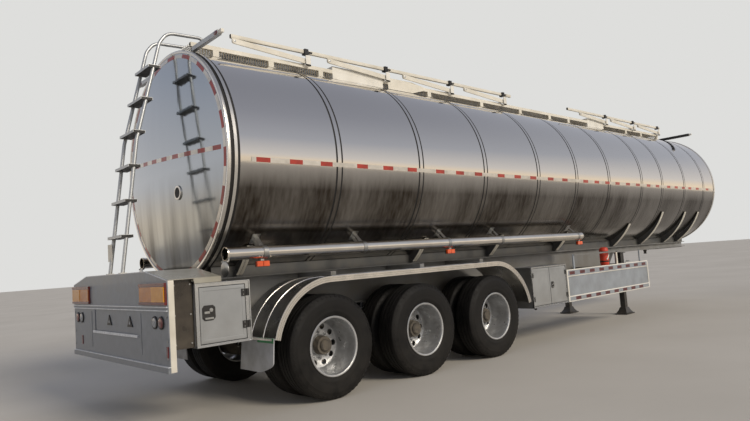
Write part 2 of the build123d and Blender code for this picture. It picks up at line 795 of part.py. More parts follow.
# Outline seen from behind: distance out, height
flap_outline = [(half_width - 15, flap_top), (fender_inner, flap_top), (fender_inner - 80, flap_top - 320),
                (half_width - 180, flap_top - 330), (half_width - 90, flap_top - 290)]
with BuildPart() as mud_flaps:
    for side in sides.values():
        with BuildSketch(Plane.YZ.offset(fender_end_x - flap_thickness)):
            Polygon(*[(side * out, height) for out, height in flap_outline], align=None)
        extrude(amount=flap_thickness)
finish(mud_flaps, "mud_flaps")

# Toolboxes: hollow, open at the outer face where the doors close them
box_wall = 6
door_thickness = 24
door_split = 10
# Boxes: rear station, front station, bottom, top, and the frame around the doors at each of these edges
boxes = {"rear": ((-1445, -920, outrigger_height - 215, rear_box_top), (40, 50, 27, 38)),
         "front": ((3500, 4400, outrigger_height - 405, outrigger_height + 160), (22, 22, 25, 25))}
openings = {name: (edges[0] + frame[0], edges[1] - frame[1], edges[2] + frame[2], edges[3] - frame[3])
            for name, (edges, frame) in boxes.items()}

for box_name, ((rear, front, bottom, top), frame) in boxes.items():
    open_rear, open_front, open_bottom, open_top = openings[box_name]
    with BuildPart() as box:
        for side in sides.values():
            block((rear, front), both(side, box_inner, box_face), (bottom, top))
            block((rear + box_wall, front - box_wall), both(side, box_inner + box_wall, box_face - box_wall),
                  (bottom + box_wall, top - box_wall), mode=Mode.SUBTRACT)
            block((open_rear - joint_gap, open_front + joint_gap),
                  both(side, box_face - 2 * box_wall, box_face + box_wall),
                  (open_bottom - joint_gap, open_top + joint_gap), mode=Mode.SUBTRACT)
    finish(box, f"{box_name}_boxes")

# Doors: rear edge, front edge, and the box whose opening gives the height
front_split = (openings["front"][0] + openings["front"][1]) / 2
doors = {"rear_box_door": (openings["rear"][0], openings["rear"][1], "rear"),
         "front_box_door_a": (openings["front"][0], front_split - door_split / 2, "front"),
         "front_box_door_b": (front_split + door_split / 2, openings["front"][1], "front")}
for door_name, (rear, front, box_name) in doors.items():
    for side_name, side in sides.items():
        with BuildPart() as door:
            block((rear, front), both(side, box_face - door_thickness, box_face), openings[box_name][2:])
        finish(door, f"{door_name}_{side_name}")

# Side guards between the front boxes and the landing legs
guard_rear = boxes["front"][0][1]
guard_front = leg_station - 320
# Rails: bottom, top
guard_rails = [(outrigger_height - 405, outrigger_height - 320),
               (outrigger_height - 35, outrigger_height + 70)]
guard_sheet = 4
guard_sheet_outer = half_width - 10
guard_post_half = 20
guard_post_depth = 20
# Open frame on the upper rail: stations of its posts, its top, its bar's height
frame_posts = [4650, 6020, 6850]
frame_top = guard_rails[1][1] + 220
frame_bar = 25
frame_depth = 20
with BuildPart() as side_guards:
    for side in sides.values():
        for low, high in guard_rails:
            block((guard_rear, guard_front), both(side, guard_inner, half_width), (low, high))
        block((guard_rear, guard_front), both(side, guard_sheet_outer - guard_sheet, guard_sheet_outer),
              (guard_rails[0][1], guard_rails[1][0]))
        for at, reach in outriggers:
            if reach == guard_inner:
                block(around(at, guard_post_half), both(side, guard_inner - guard_post_depth, guard_inner),
                      (guard_rails[0][0], outrigger_height))
        frame_y = both(side, guard_inner, guard_inner + frame_depth)
        for at in frame_posts:
            block(around(at, guard_post_half), frame_y, (guard_rails[1][1], frame_top))
        block((frame_posts[0], frame_posts[-1]), frame_y, (frame_top - frame_bar, frame_top))
finish(side_guards, "side_guards")

# Fire extinguisher boxes behind the guards, each on the outrigger there
extinguisher_half = 72
extinguisher_inner = guard_inner - 190
extinguisher_outer = guard_inner - 40
extinguisher_height = 310
with BuildPart() as extinguishers:
    for side in sides.values():
        block(around(extinguisher_station, extinguisher_half),
              both(side, extinguisher_inner, extinguisher_outer),
              (outrigger_height + outrigger, outrigger_height + outrigger + extinguisher_height))
finish(extinguishers, "extinguishers")

# Leaf springs on the axles: stacked leaves with the longest on top, lying flat under the hangers
leaf_end_gap = 10
leaf_half = axle_pitch / 2 - leaf_end_gap
leaf_bent = axle_pitch / 2 - hanger_half_length
with BuildPart() as leaf_springs:
    for at in axles.values():
        for side in sides.values():
            with BuildSketch(Plane.XZ.offset(-side * (rail_centre - leaf_width / 2))):
                for leaf, end in enumerate(leaf_ends):
                    low = spring_seat + leaf * leaf_thickness
                    bends = [(leaf_bent * share, low + camber * share**2)
                             for share in leaf_bends if share <= end]
                    if leaf == len(leaf_ends) - 1:
                        bends.append((leaf_half, low + camber))
                    under = [(-reach, height) for reach, height in bends[::-1]] + [(0, low)] + bends
                    over = [(reach, height + leaf_thickness) for reach, height in under]
                    Polygon(*[(station(at) + reach, height) for reach, height in under + over[::-1]],
                            align=None)
            extrude(amount=-side * leaf_width)
finish(leaf_springs, "leaf_springs")

# Axle beams with the wheel spindles
beam_end = drum_inner - 25
with BuildPart() as axle_beams:
    for at in axles.values():
        block(around(at, beam / 2), (-beam_end, beam_end), (hub_height - beam / 2, hub_height + beam / 2))
        for side in sides.values():
            spindle_root = (station(at), side * beam_end, hub_height)
            with BuildSketch(Plane(origin=spindle_root, x_dir=(1, 0, 0), z_dir=(0, side, 0))):
                RegularPolygon(spindle_radius, hub_sides)
            extrude(amount=spindle_end - beam_end)
finish(axle_beams, "axle_beams")

# Air reservoirs slung under two cross beams
reservoir_radius = 130
reservoir_sides = 16
reservoir_half = 380
reservoirs = [cross_members[6], cross_members[9]]
with BuildPart() as air_reservoirs:
    for at in reservoirs:
        with BuildSketch(Plane.XZ.offset(-reservoir_half)):
            with Locations((station(at), cross_height - reservoir_radius)):
                flat_sided(reservoir_radius, reservoir_sides)
        extrude(amount=2 * reservoir_half)
finish(air_reservoirs, "air_reservoirs")

# Bottom outlet: a pipe with a flange, on a pad under the tank
outlet_station = 5380
outlet_face = rail_bottom + 100
outlet_bore = 50
outlet_pipe = 57
outlet_flange = 105
outlet_flange_thickness = 20
outlet_sides = 16
outlet_bolt_circle = 170
outlet_bolts = 4
outlet_bolt_hole = 9
outlet_pad_half = 90
outlet_pad = 12
outlet_top = rail_top + tank_gap - outlet_pad
with BuildPart() as discharge_outlet:
    # Pipe and flange: how high each stands over the open face, radius
    for height, radius in ((outlet_top - outlet_face, outlet_pipe), (outlet_flange_thickness, outlet_flange)):
        with BuildSketch(Plane.XY.offset(outlet_face)):
            with Locations((station(outlet_station), 0)):
                flat_sided(radius, outlet_sides)
        extrude(amount=height)
    with BuildSketch(Plane.XY.offset(outlet_face)):
        with Locations((station(outlet_station), 0)):
            flat_sided(outlet_bore, outlet_sides)
    extrude(amount=outlet_top - outlet_face, mode=Mode.SUBTRACT)
    with BuildSketch(Plane.XY.offset(outlet_face)):
        with Locations((station(outlet_station), 0)):
            with PolarLocations(outlet_bolt_circle / 2, outlet_bolts):
                Circle(outlet_bolt_hole)
    extrude(amount=outlet_flange_thickness, mode=Mode.SUBTRACT)
    block(around(outlet_station, outlet_pad_half), (-outlet_pad_half, outlet_pad_half),
          (outlet_top, outlet_top + 2 * outlet_pad))
    cut_by_tank()
finish(discharge_outlet, "discharge_outlet")
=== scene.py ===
import math

import bmesh
import bpy
from mathutils import Matrix, Quaternion, Vector


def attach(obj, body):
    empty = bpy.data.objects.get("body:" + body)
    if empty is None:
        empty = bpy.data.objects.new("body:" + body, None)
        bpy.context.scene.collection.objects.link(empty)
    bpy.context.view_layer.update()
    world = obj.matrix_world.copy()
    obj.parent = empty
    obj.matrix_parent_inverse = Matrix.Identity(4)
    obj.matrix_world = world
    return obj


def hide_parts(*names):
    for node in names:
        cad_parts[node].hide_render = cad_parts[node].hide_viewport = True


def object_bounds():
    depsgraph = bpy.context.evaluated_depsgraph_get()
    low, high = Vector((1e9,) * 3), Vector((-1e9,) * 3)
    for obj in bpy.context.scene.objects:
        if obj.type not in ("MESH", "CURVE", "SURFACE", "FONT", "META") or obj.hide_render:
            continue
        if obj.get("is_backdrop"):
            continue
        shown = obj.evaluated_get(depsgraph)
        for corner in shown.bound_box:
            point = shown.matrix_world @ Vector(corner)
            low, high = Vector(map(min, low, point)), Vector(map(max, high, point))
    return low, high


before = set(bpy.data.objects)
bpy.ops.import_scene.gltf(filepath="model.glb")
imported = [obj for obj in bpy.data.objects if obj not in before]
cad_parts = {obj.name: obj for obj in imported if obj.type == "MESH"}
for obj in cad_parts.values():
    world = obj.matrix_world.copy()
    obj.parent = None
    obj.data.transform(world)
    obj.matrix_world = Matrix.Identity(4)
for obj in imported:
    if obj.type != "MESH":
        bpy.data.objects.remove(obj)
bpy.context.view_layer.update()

# Tank: an insulated barrel under a jacket of polished stainless sheets, rolled round it and joined
# by raised cover strips. A turned collar closes each end, and the dished heads sit just inside them.
# Places along the trailer are metres ahead of the rear axle, which lies at this X.
REAR_AXLE_X = -4.6575
SIDES = {"right": -1, "left": 1}
TANK_AXIS = 2.471
TANK_RADIUS = 1.195
TANK_STEPS = 160
cover_strips = [0.257, 1.503, 2.736, 3.986, 5.059, 6.116, 7.358, 8.241, 9.306, 10.331]


def x_of(ahead):
    """X of a place ahead of the rear axle."""
    return REAR_AXLE_X + ahead


def span(rear, front):
    """The X limits between two places along the trailer."""
    return (x_of(rear), x_of(front))


def around(middle, half):
    """The X limits to both sides of a place along the trailer."""
    return span(middle - half, middle + half)


def both(side, inner, outer):
    """The Y limits between two distances out from the middle, on one side."""
    return (side * inner, side * outer)


def linear(code):
    """A colour's linear values from its sRGB hex code."""
    parts = [int(code[n:n + 2], 16) / 255 for n in (0, 2, 4)]
    return [p / 12.92 if p <= 0.04045 else ((p + 0.055) / 1.055) ** 2.4 for p in parts] + [1.0]


def add_node(tree, kind, settings=(), **inputs):
    """Adds a node with its settings; inputs are values or sockets, with _ for a space in a name."""
    made = tree.nodes.new(kind)
    for name, value in dict(settings).items():
        setattr(made, name, value)
    for name, value in inputs.items():
        socket = made.inputs[int(name[1:]) if name[1:].isdigit() else name.replace("_", " ")]
        if isinstance(value, bpy.types.NodeSocket):
            tree.links.new(value, socket)
        else:
            socket.default_value = value
    return made


def new_material(name, metallic=0.0, roughness=0.5, coat=0.0):
    """A material, its nodes, its shader and the place on the piece that its patterns read."""
    made = bpy.data.materials.new(name)
    made.use_nodes = True
    tree = made.node_tree
    surface = tree.nodes["Principled BSDF"]
    surface.inputs["Metallic"].default_value = metallic
    surface.inputs["Roughness"].default_value = roughness
    surface.inputs["Coat Weight"].default_value = coat
    return made, tree, surface, add_node(tree, "ShaderNodeTexCoord").outputs["Object"]


def weathered(name, colour, shade, metallic, roughness, patch, grain, relief, dust=0.0, coat=0.0):
    """A finish with patches of a second shade, a grain, and road dust that thickens towards the ground.

    Patch and grain are the sizes of one patch and one grain, relief the grain's height, in metres.
    """
    made, tree, surface, place = new_material(name, metallic, coat=coat)
    patches = add_node(tree, "ShaderNodeTexNoise", Vector=place, Scale=1 / patch, Detail=5.0).outputs[0]
    grains = add_node(tree, "ShaderNodeTexNoise", Vector=place, Scale=1 / grain, Detail=3.0).outputs[0]
    base = add_node(tree, "ShaderNodeMix", {"data_type": "RGBA"},
                    _0=add_node(tree, "ShaderNodeMapRange", Value=patches, From_Min=0.35, From_Max=0.7,
                                To_Min=0.0, To_Max=1.0).outputs[0], _6=linear(colour),
                    _7=linear(shade)).outputs[2]
    rough = add_node(tree, "ShaderNodeMapRange", Value=patches, From_Min=0.3, From_Max=0.7,
                     To_Min=roughness[0], To_Max=roughness[1]).outputs[0]
    if dust:
        height = add_node(tree, "ShaderNodeSeparateXYZ", Vector=place).outputs[2]
        low_down = add_node(tree, "ShaderNodeMapRange", Value=height, From_Min=0.15, From_Max=1.5,
                            To_Min=dust, To_Max=0.0).outputs[0]
        share = add_node(tree, "ShaderNodeMath", {"operation": "MULTIPLY"}, _0=low_down,
                         _1=add_node(tree, "ShaderNodeMapRange", Value=patches, From_Min=0.3, From_Max=0.65,
                                     To_Min=0.35, To_Max=1.0).outputs[0]).outputs[0]
        base = add_node(tree, "ShaderNodeMix", {"data_type": "RGBA"}, _0=share, _6=base,
                        _7=linear("8C8374")).outputs[2]
        rough = add_node(tree, "ShaderNodeMath", {"operation": "ADD", "use_clamp": True}, _0=rough,
                         _1=add_node(tree, "ShaderNodeMapRange", Value=share, From_Min=0.0, From_Max=1.0,
                                     To_Min=0.0, To_Max=0.4).outputs[0]).outputs[0]
    tree.links.new(base, surface.inputs["Base Color"])
    tree.links.new(rough, surface.inputs["Roughness"])
    bump = add_node(tree, "ShaderNodeBump", Distance=relief, Strength=1.0, Height=grains)
    tree.links.new(bump.outputs[0], surface.inputs["Normal"])
    return made


def turned(bm, profile, steps, place, closed=False, slots=None):
    """A turned shape: rows of (along, radius) about an axis; slots gives each band's material slot."""
    rows = []
    for along, radius in profile:
        turns = [2 * math.pi * n / steps for n in range(steps)] if radius > 1e-6 else [0.0]
        rows.append([bm.verts.new(place(along, radius * math.cos(t), radius * math.sin(t))) for t in turns])
    after = rows[1:] + rows[:1] if closed else rows[1:]
    for band, (near, far) in enumerate(zip(rows, after)):
        for n in range(steps if len(near) + len(far) > 2 else 0):
            corners = [near[n % len(near)], near[(n + 1) % steps % len(near)],
                       far[(n + 1) % steps % len(far)], far[n % len(far)]]
            face = bm.faces.new(list(dict.fromkeys(corners)))
            face.material_index = slots[band] if slots else 0


def finish_piece(name, bm, materials, body, replaced=(), bevel=0.0, crease=35):
    """Makes the finished piece of a mesh, faces outwards, and lets it ride on its body."""
    bmesh.ops.recalc_face_normals(bm, faces=bm.faces)
    mesh = bpy.data.meshes.new(name)
    bm.to_mesh(mesh)
    bm.free()
    for material in materials:
        mesh.materials.append(material)
    made = bpy.data.objects.new(name, mesh)
    bpy.context.scene.collection.objects.link(made)
    mesh.shade_smooth()
    if bevel:
        ease = made.modifiers.new("eased edges", "BEVEL")
        ease.width, ease.segments, ease.limit_method = bevel, 2, "ANGLE"
        ease.angle_limit = math.radians(crease)
        ease.harden_normals = True
        ease.use_clamp_overlap = True
    else:
        mesh.set_sharp_from_angle(angle=math.radians(crease))
    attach(made, body)
    if replaced:
        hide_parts(*replaced)
    return made


def line_along(y, z):
    """Turned shapes about a line that runs along the trailer."""
    return lambda a, u, v: (x_of(a), y + u, z + v)


def line_across(ahead, z):
    """Turned shapes about a line that runs across the trailer."""
    return lambda a, u, v: (x_of(ahead) + u, a, z + v)


def line_up(ahead, y=0.0):
    """Turned shapes about an upright line."""
    return lambda a, u, v: (x_of(ahead) + u, y + v, a)


def polish(name, clean, painted_reflection_colour, folded):
    """Polished stainless: long waves from the rolls or upright folds from the press, and low down a darker,
    rougher band that is a painted reflection of shaded ground.
    """
    made, tree, surface, place = new_material(name, metallic=1.0)
    stretch = add_node(tree, "ShaderNodeMapping", Vector=place, Scale=(1.0, 0.22, 0.22)).outputs[0]
    upright = add_node(tree, "ShaderNodeMapping", Vector=place, Scale=(0.08, 1.0, 0.10)).outputs[0]
    waves = add_node(tree, "ShaderNodeTexNoise", Vector=upright if folded else stretch,
                     Scale=4.5 if folded else 1.6, Detail=2.0).outputs[0]
    streaks = add_node(tree, "ShaderNodeTexNoise", Vector=upright if folded else stretch, Scale=26.0,
                       Detail=6.0).outputs[0]
    height = add_node(tree, "ShaderNodeSeparateXYZ", Vector=place).outputs[2]
    patchy = add_node(tree, "ShaderNodeMath", {"operation": "MULTIPLY"},
                      _0=add_node(tree, "ShaderNodeMapRange", Value=streaks, From_Min=0.2, From_Max=0.7,
                                  To_Min=0.8, To_Max=1.0).outputs[0],
                      _1=add_node(tree, "ShaderNodeMapRange", Value=waves, From_Min=0.35, From_Max=0.6,
                                  To_Min=0.35 if folded else 0.75, To_Max=1.0).outputs[0]).outputs[0]
    # Painted reflection: the colour darkens below about 2.4 m, in place of a reflection of dark shaded
    # ground; on the barrel it is left off the belly
    low_down = add_node(tree, "ShaderNodeMapRange", Value=height, From_Min=1.5 if folded else 2.10,
                        From_Max=2.40, To_Min=1.0, To_Max=0.0).outputs[0]
    above_belly = add_node(tree, "ShaderNodeMapRange", Value=height, From_Min=1.38, From_Max=1.62,
                           To_Min=0.9 if folded else 0.05, To_Max=1.0).outputs[0]
    reflection_band = add_node(tree, "ShaderNodeMath", {"operation": "MULTIPLY"}, _0=low_down,
                       _1=above_belly).outputs[0]
    painted_reflection = add_node(tree, "ShaderNodeMath", {"operation": "MULTIPLY", "use_clamp": True}, _0=reflection_band,
                    _1=patchy).outputs[0]
    tree.links.new(add_node(tree, "ShaderNodeMix", {"data_type": "RGBA"}, _0=painted_reflection, _6=linear(clean),
                            _7=linear(painted_reflection_colour)).outputs[2], surface.inputs["Base Color"])
    tree.links.new(add_node(tree, "ShaderNodeMapRange", Value=painted_reflection, From_Min=0.0, From_Max=0.9, To_Min=0.08,
                            To_Max=0.24).outputs[0], surface.inputs["Roughness"])
    bump = add_node(tree, "ShaderNodeBump", Distance=0.010, Strength=0.2, Height=waves)
    fine = add_node(tree, "ShaderNodeBump", Distance=0.0005, Strength=0.3, Height=streaks,
                    Normal=bump.outputs[0])
    tree.links.new(fine.outputs[0], surface.inputs["Normal"])
    return made


# The second colour of each finish is the painted reflection of shaded ground, laid over the lower jacket
rolled_mirror = polish("rolled_mirror_stainless", "DCD8D2", "3C342B", False)
pressed_mirror = polish("pressed_mirror_stainless", "B4BABF", "2A241E", True)
strip_metal = weathered("brushed_cover_strip", "E6E3DD", "D3CFC8", 1.0, (0.2, 0.34), 0.3, 0.002, 0.00005)
sealant = weathered("black_sealant", "0C0B0B", "151413", 0.0, (0.55, 0.8), 0.2, 0.01, 0.0004)

head_rise, head_edge = 0.06, 1.168
rear_head, front_head = -1.040, 10.970
fitting_y, fitting_z = -0.229, 2.162
rear_rim = [(-1.040, 1.172, 2), (-1.045, 1.176, 2), (-1.047, 1.186, 2), (-1.046, 1.197, 2),
            (-1.040, 1.2035, 2), (-1.032, 1.205, 2), (-1.016, 1.205, 1), (-1.014, 1.197, 1),
            (-0.980, 1.197, 1), (-0.978, 1.205, 2), (-0.946, 1.205, 1), (-0.944, 1.196, 1),
            (-0.915, 1.1955, 0), (-0.914, 1.1952, 0), (-0.913, 1.195, 0)]
front_rim = [(10.903, 1.195, 1), (10.9045, 1.194, 1), (10.9095, 1.196, 2), (10.910, 1.203, 2),
             (10.915, 1.205, 2), (10.958, 1.205, 2), (10.968, 1.203, 2), (10.974, 1.196, 2),
             (10.972, 1.180, 2), (10.970, 1.172, 3)]
strip_profile = [(-0.045, 0.0, 1), (-0.044, -0.002, 1), (-0.026, -0.002, 1), (-0.0235, 0.0016, 0),
                 (0.0235, 0.0016, 1), (0.026, -0.002, 1), (0.044, -0.002, 1), (0.045, 0.0, 0)]
head_shares = [n / 14 for n in range(15)]
profile = [(rear_head - head_rise * (1 - s * s), head_edge * s, 3) for s in head_shares] + rear_rim
for strip in cover_strips:
    profile += [(strip + out, TANK_RADIUS + up, slot) for out, up, slot in strip_profile]
profile += front_rim + [(front_head + head_rise * (1 - s * s), head_edge * s, 3) for s in head_shares[::-1]]


def dished(reach):
    """Place along of the rear head's surface, at a distance from the tank's axis."""
    return rear_head - head_rise * (1 - (reach / head_edge) ** 2)


bm = bmesh.new()
turned(bm, [(along, radius) for along, radius, slot in profile], TANK_STEPS, line_along(0.0, TANK_AXIS),
       slots=[slot for along, radius, slot in profile])
# A round fitting low on the rear head: a bright ring round a dark lens
for radius, near, slot in ((0.075, 0.012, 2), (0.055, 0.0145, 1)):
    at = dished(math.hypot(fitting_y, fitting_z - TANK_AXIS))
    turned(bm, [(at + 0.01, radius), (at - near + 0.003, radius), (at - near, radius - 0.004),
                (at - near, 0.0)], 32, line_along(fitting_y, fitting_z), slots=[slot] * 4)
finish_piece("tank_jacket", bm, [rolled_mirror, sealant, strip_metal, pressed_mirror], "trailer", ["tank"],
             crease=30)

# Reflective tape: red and white strips of retroreflective sheeting, stuck along both sides of the
# tank, round the rear head inside its rim, and across the head.
# Red and white sheeting: tiny cells behind a clear film give a fine sparkle and a soft gloss.
tapes = {}
for label, code, shade, metallic in (("red", "A62A1A", "861F16", 0.0), ("white", "DAD5CC", "C3BEB5", 0.7)):
    tapes[label], tree, surface, place = new_material(f"{label}_reflective_sheeting", metallic, 0.32, 0.4)
    cells = add_node(tree, "ShaderNodeTexVoronoi", Vector=place, Scale=260.0).outputs["Distance"]
    patches = add_node(tree, "ShaderNodeTexNoise", Vector=place, Scale=9.0, Detail=4.0).outputs[0]
    tree.links.new(add_node(tree, "ShaderNodeMix", {"data_type": "RGBA"},
                            _0=add_node(tree, "ShaderNodeMapRange", Value=patches, From_Min=0.35,
                                        From_Max=0.7, To_Min=0.0, To_Max=1.0).outputs[0], _6=linear(code),
                            _7=linear(shade)).outputs[2], surface.inputs["Base Color"])
    bump = add_node(tree, "ShaderNodeBump", Distance=0.0004, Strength=0.6, Height=cells)
    tree.links.new(bump.outputs[0], surface.inputs["Normal"])

repeat = bpy.data.node_groups.new("repeat", "GeometryNodeTree")
repeat_inputs = {}
for label, kind in (("Geometry", "Geometry"), ("Count", "Int"), ("Start", "Vector"), ("Step", "Vector"),
                    ("Turn", "Vector"), ("Material", "Material")):
    made = repeat.interface.new_socket(label, in_out="INPUT", socket_type=f"NodeSocket{kind}")
    repeat_inputs[label] = made.identifier
repeat.interface.new_socket("Geometry", in_out="OUTPUT", socket_type="NodeSocketGeometry")
given = add_node(repeat, "NodeGroupInput").outputs
places = add_node(repeat, "GeometryNodeMeshLine", {"mode": "OFFSET"}, Count=given["Count"],
                  Start_Location=given["Start"], Offset=given["Step"])
order = add_node(repeat, "GeometryNodeInputIndex").outputs[0]
turns = add_node(repeat, "ShaderNodeVectorMath", {"operation": "SCALE"}, Vector=given["Turn"], Scale=order)
facing = add_node(repeat, "FunctionNodeEulerToRotation", Euler=turns.outputs[0])
copies = add_node(repeat, "GeometryNodeInstanceOnPoints", Points=places.outputs[0],
                  Instance=given["Geometry"], Rotation=facing.outputs[0])
real = add_node(repeat, "GeometryNodeRealizeInstances", Geometry=copies.outputs[0])
coated = add_node(repeat, "GeometryNodeSetMaterial", Geometry=real.outputs[0], Material=given["Material"])
add_node(repeat, "NodeGroupOutput", Geometry=coated.outputs[0])


def repeated(shape, material, count, start=(0, 0, 0), step=(0, 0, 0), turn=(0, 0, 0)):
    """The shape's copies, each moved by a step and turned by an angle more than the one before."""
    mesh = bpy.data.meshes.new("shape")
    shape.to_mesh(mesh)
    shape.free()
    holder = bpy.data.objects.new("shape", mesh)
    bpy.context.scene.collection.objects.link(holder)
    copier = holder.modifiers.new("repeat", "NODES")
    copier.node_group = repeat
    for label, value in (("Count", count), ("Start", start), ("Step", step), ("Turn", turn),
                         ("Material", material)):
        copier[repeat_inputs[label]] = value
    made = bpy.data.meshes.new_from_object(holder.evaluated_get(bpy.context.evaluated_depsgraph_get()))
    bpy.data.objects.remove(holder)
    return made


def take_in(bm, mesh, slot=0, place=None):
    """Adds a mesh to the piece in one of its material slots."""
    if place:
        mesh.transform(place)
    known = len(bm.faces)
    bm.from_mesh(mesh)
    bm.faces.ensure_lookup_table()
    for face in bm.faces[known:]:
        face.material_index = slot
    bpy.data.meshes.remove(mesh)


def tape_patch(corner_rows, thickness):
    """A thin patch of tape from rows of points on the surface, and the way out of the surface at each."""
    bm = bmesh.new()
    rows = [[(bm.verts.new(Vector(p) + Vector(out) * 0.0002),
              bm.verts.new(Vector(p) + Vector(out) * thickness)) for p, out in row] for row in corner_rows]
    for near, far in zip(rows, rows[1:]):
        for n in range(1, len(near)):
            for level in (0, 1):
                bm.faces.new([near[n - 1][level], near[n][level], far[n][level], far[n - 1][level]])
    edge = rows[0] + [row[-1] for row in rows[1:]] + rows[-1][-2::-1] + [row[0] for row in rows[-2:0:-1]]
    for n in range(len(edge)):
        bm.faces.new([edge[n - 1][0], edge[n][0], edge[n][1], edge[n - 1][1]])
    return bm


tape_width = 0.045
tape_red = 0.155
tape_height = 2.362
tape_angle = math.asin((tape_height - TANK_AXIS) / TANK_RADIUS)
# Runs of dashes, one for each sheet: first dash, count, pitch
tape_runs = [(-0.749, 3, 0.377), (0.494, 3, 0.385), (1.753, 3, 0.373), (2.99, 3, 0.385), (4.22, 2, 0.40),
             (5.25, 3, 0.36), (6.33, 3, 0.39), (7.55, 2, 0.39), (8.45, 3, 0.36), (9.50, 2, 0.40),
             (10.46, 1, 0.3)]
head_tape_count = 20
head_strip_pitch = 0.27


def side_tape(first, last, side, thickness):
    """A patch along the tank's side between two places along."""
    rows = []
    for n in range(4):
        angle = tape_angle + (n / 3 - 0.5) * tape_width / TANK_RADIUS
        out = Vector((0, side * math.cos(angle), math.sin(angle)))
        at = Vector((0, 0, TANK_AXIS)) + out * (TANK_RADIUS + 0.0016)
        rows.append([(at + Vector((x_of(end), 0, 0)), out) for end in (first, last)])
    return tape_patch(rows, thickness)


for label in ("red", "white"):
    bm = bmesh.new()
    for side in SIDES.values():
        if label == "white":
            take_in(bm, repeated(side_tape(-0.80, 10.80, side, 0.0005), tapes[label], 1))
        else:
            for first, count, pitch in tape_runs:
                dash = side_tape(first, first + tape_red, side, 0.0009)
                take_in(bm, repeated(dash, tapes[label], count, step=(pitch, 0, 0)))
    # Round the rear head, just inside the rim; the shape is made about the head's centre
    turn = 2 * math.pi / head_tape_count
    rows = []
    for radius in (1.122, 1.142, 1.162):
        row = []
        for n in range(6):
            angle = turn * (n / 5 / 2 + (0.5 if label == "white" else 0.0))
            row.append(((x_of(dished(radius)), radius * math.cos(angle), radius * math.sin(angle)),
                        (-1, 0, 0)))
        rows.append(row)
    take_in(bm, repeated(tape_patch(rows, 0.0012), tapes[label], head_tape_count, start=(0, 0, TANK_AXIS),
                         turn=(turn, 0, 0)))
    # Across the head, a little out of level
    for n in range(8):
        first = -1.08 + head_strip_pitch * (n + (0.5 if label == "white" else 0.0))
        ends = (first, first + head_strip_pitch / 2)
        rows = []
        for up in (-0.022, 0.022):
            row = []
            for share in (0.0, 0.5, 1.0):
                y = ends[0] + (ends[1] - ends[0]) * share
                z = 2.553 + 0.0655 * y + up
                row.append(((x_of(dished(math.hypot(y, z - TANK_AXIS))), y, z), (-1, 0, 0)))
            rows.append(row)
        patch = bpy.data.meshes.new("patch")
        tape_patch(rows, 0.0012).to_mesh(patch)
        take_in(bm, patch)
    finish_piece(f"tape_{label}", bm, [tapes[label]], "trailer")

# Tank supports: sill plates welded on the rails under the tank, and pressed webs that follow its side like
# wings, each with a bent flange along its outer edge that carries a bright coat of paint. The sills, webs and
# gussets are drawn dark grey as painted shade under the tank.
RAIL_TOP = 1.274
cream_paint = weathered("cream_two_pack_paint", "DAD6CA", "C4BFB1", 0.0, (0.35, 0.55), 0.25, 0.004, 0.0003,
                        dust=0.35, coat=0.25)
# Dark grey here is painted shade, not the supports' own paint
painted_shade_steel = weathered("support_steel_painted_shade", "4A4C4E", "5D5D5B", 0.3, (0.45, 0.7), 0.18, 0.006, 0.0004,
                         dust=0.5)


def skin(bm, rows, slot=0, floor=True):
    """The faces of a form made of rows of corners: its two ends, and the walls from row to row."""
    faces = ([rows[0][::-1]] if floor else []) + [rows[-1]]
    faces += [[near[n - 1], near[n], far[n], far[n - 1]] for near, far in zip(rows, rows[1:])
              for n in range(len(near))]
    for corners in faces:
        bm.faces.new(corners).material_index = slot


def plate(bm, outline, place, near, far, slot=0):
    """A flat plate of a given outline between two depths."""
    skin(bm, [[bm.verts.new(place(u, v, depth)) for u, v in outline] for depth in (near, far)], slot)


def on_side(side, outline):
    """An outline of distances out and heights, on one side of the trailer."""
    return [(side * u, v) for u, v in outline]


def crosswise(u, v, depth):
    """An outline across the trailer: distance to the left, height, place along."""
    return (x_of(depth), u, v)


def sideways(u, v, depth):
    """An outline along the trailer: place along, height, distance to the left."""
    return (x_of(u), depth, v)


def level(u, v, depth):
    """A level outline: place along, distance to the left, height."""
    return (x_of(u), v, depth)


def oblong(left, right, low, high, inset=0.0):
    """The corners of an upright oblong, drawn in by an inset."""
    return [(left + inset, low + inset), (right - inset, low + inset), (right - inset, high - inset),
            (left + inset, high - inset)]


def close_box(bm, corners, slot):
    """The six faces of a box, from its eight corners in pairs."""
    for face in ((0, 1, 3, 2), (4, 6, 7, 5), (0, 4, 5, 1), (2, 3, 7, 6), (0, 2, 6, 4), (1, 5, 7, 3)):
        bm.faces.new([corners[n] for n in face]).material_index = slot


def block(bm, x, y, z, slot=0):
    """A block between two X, two Y and two Z values."""
    close_box(bm, [bm.verts.new((a, b, c)) for a in x for b in y for c in z], slot)


def tank_top(y, gap=0.002):
    """Height of the tank's top at a distance from the middle, plus a gap."""
    return TANK_AXIS + math.sqrt((TANK_RADIUS + gap) ** 2 - y * y)


def round_tank(gap, angle, side):
    """A point at a gap outside the tank, at an angle from straight down."""
    reach = TANK_RADIUS + gap
    return (side * reach * math.sin(math.radians(angle)), TANK_AXIS - reach * math.cos(math.radians(angle)))


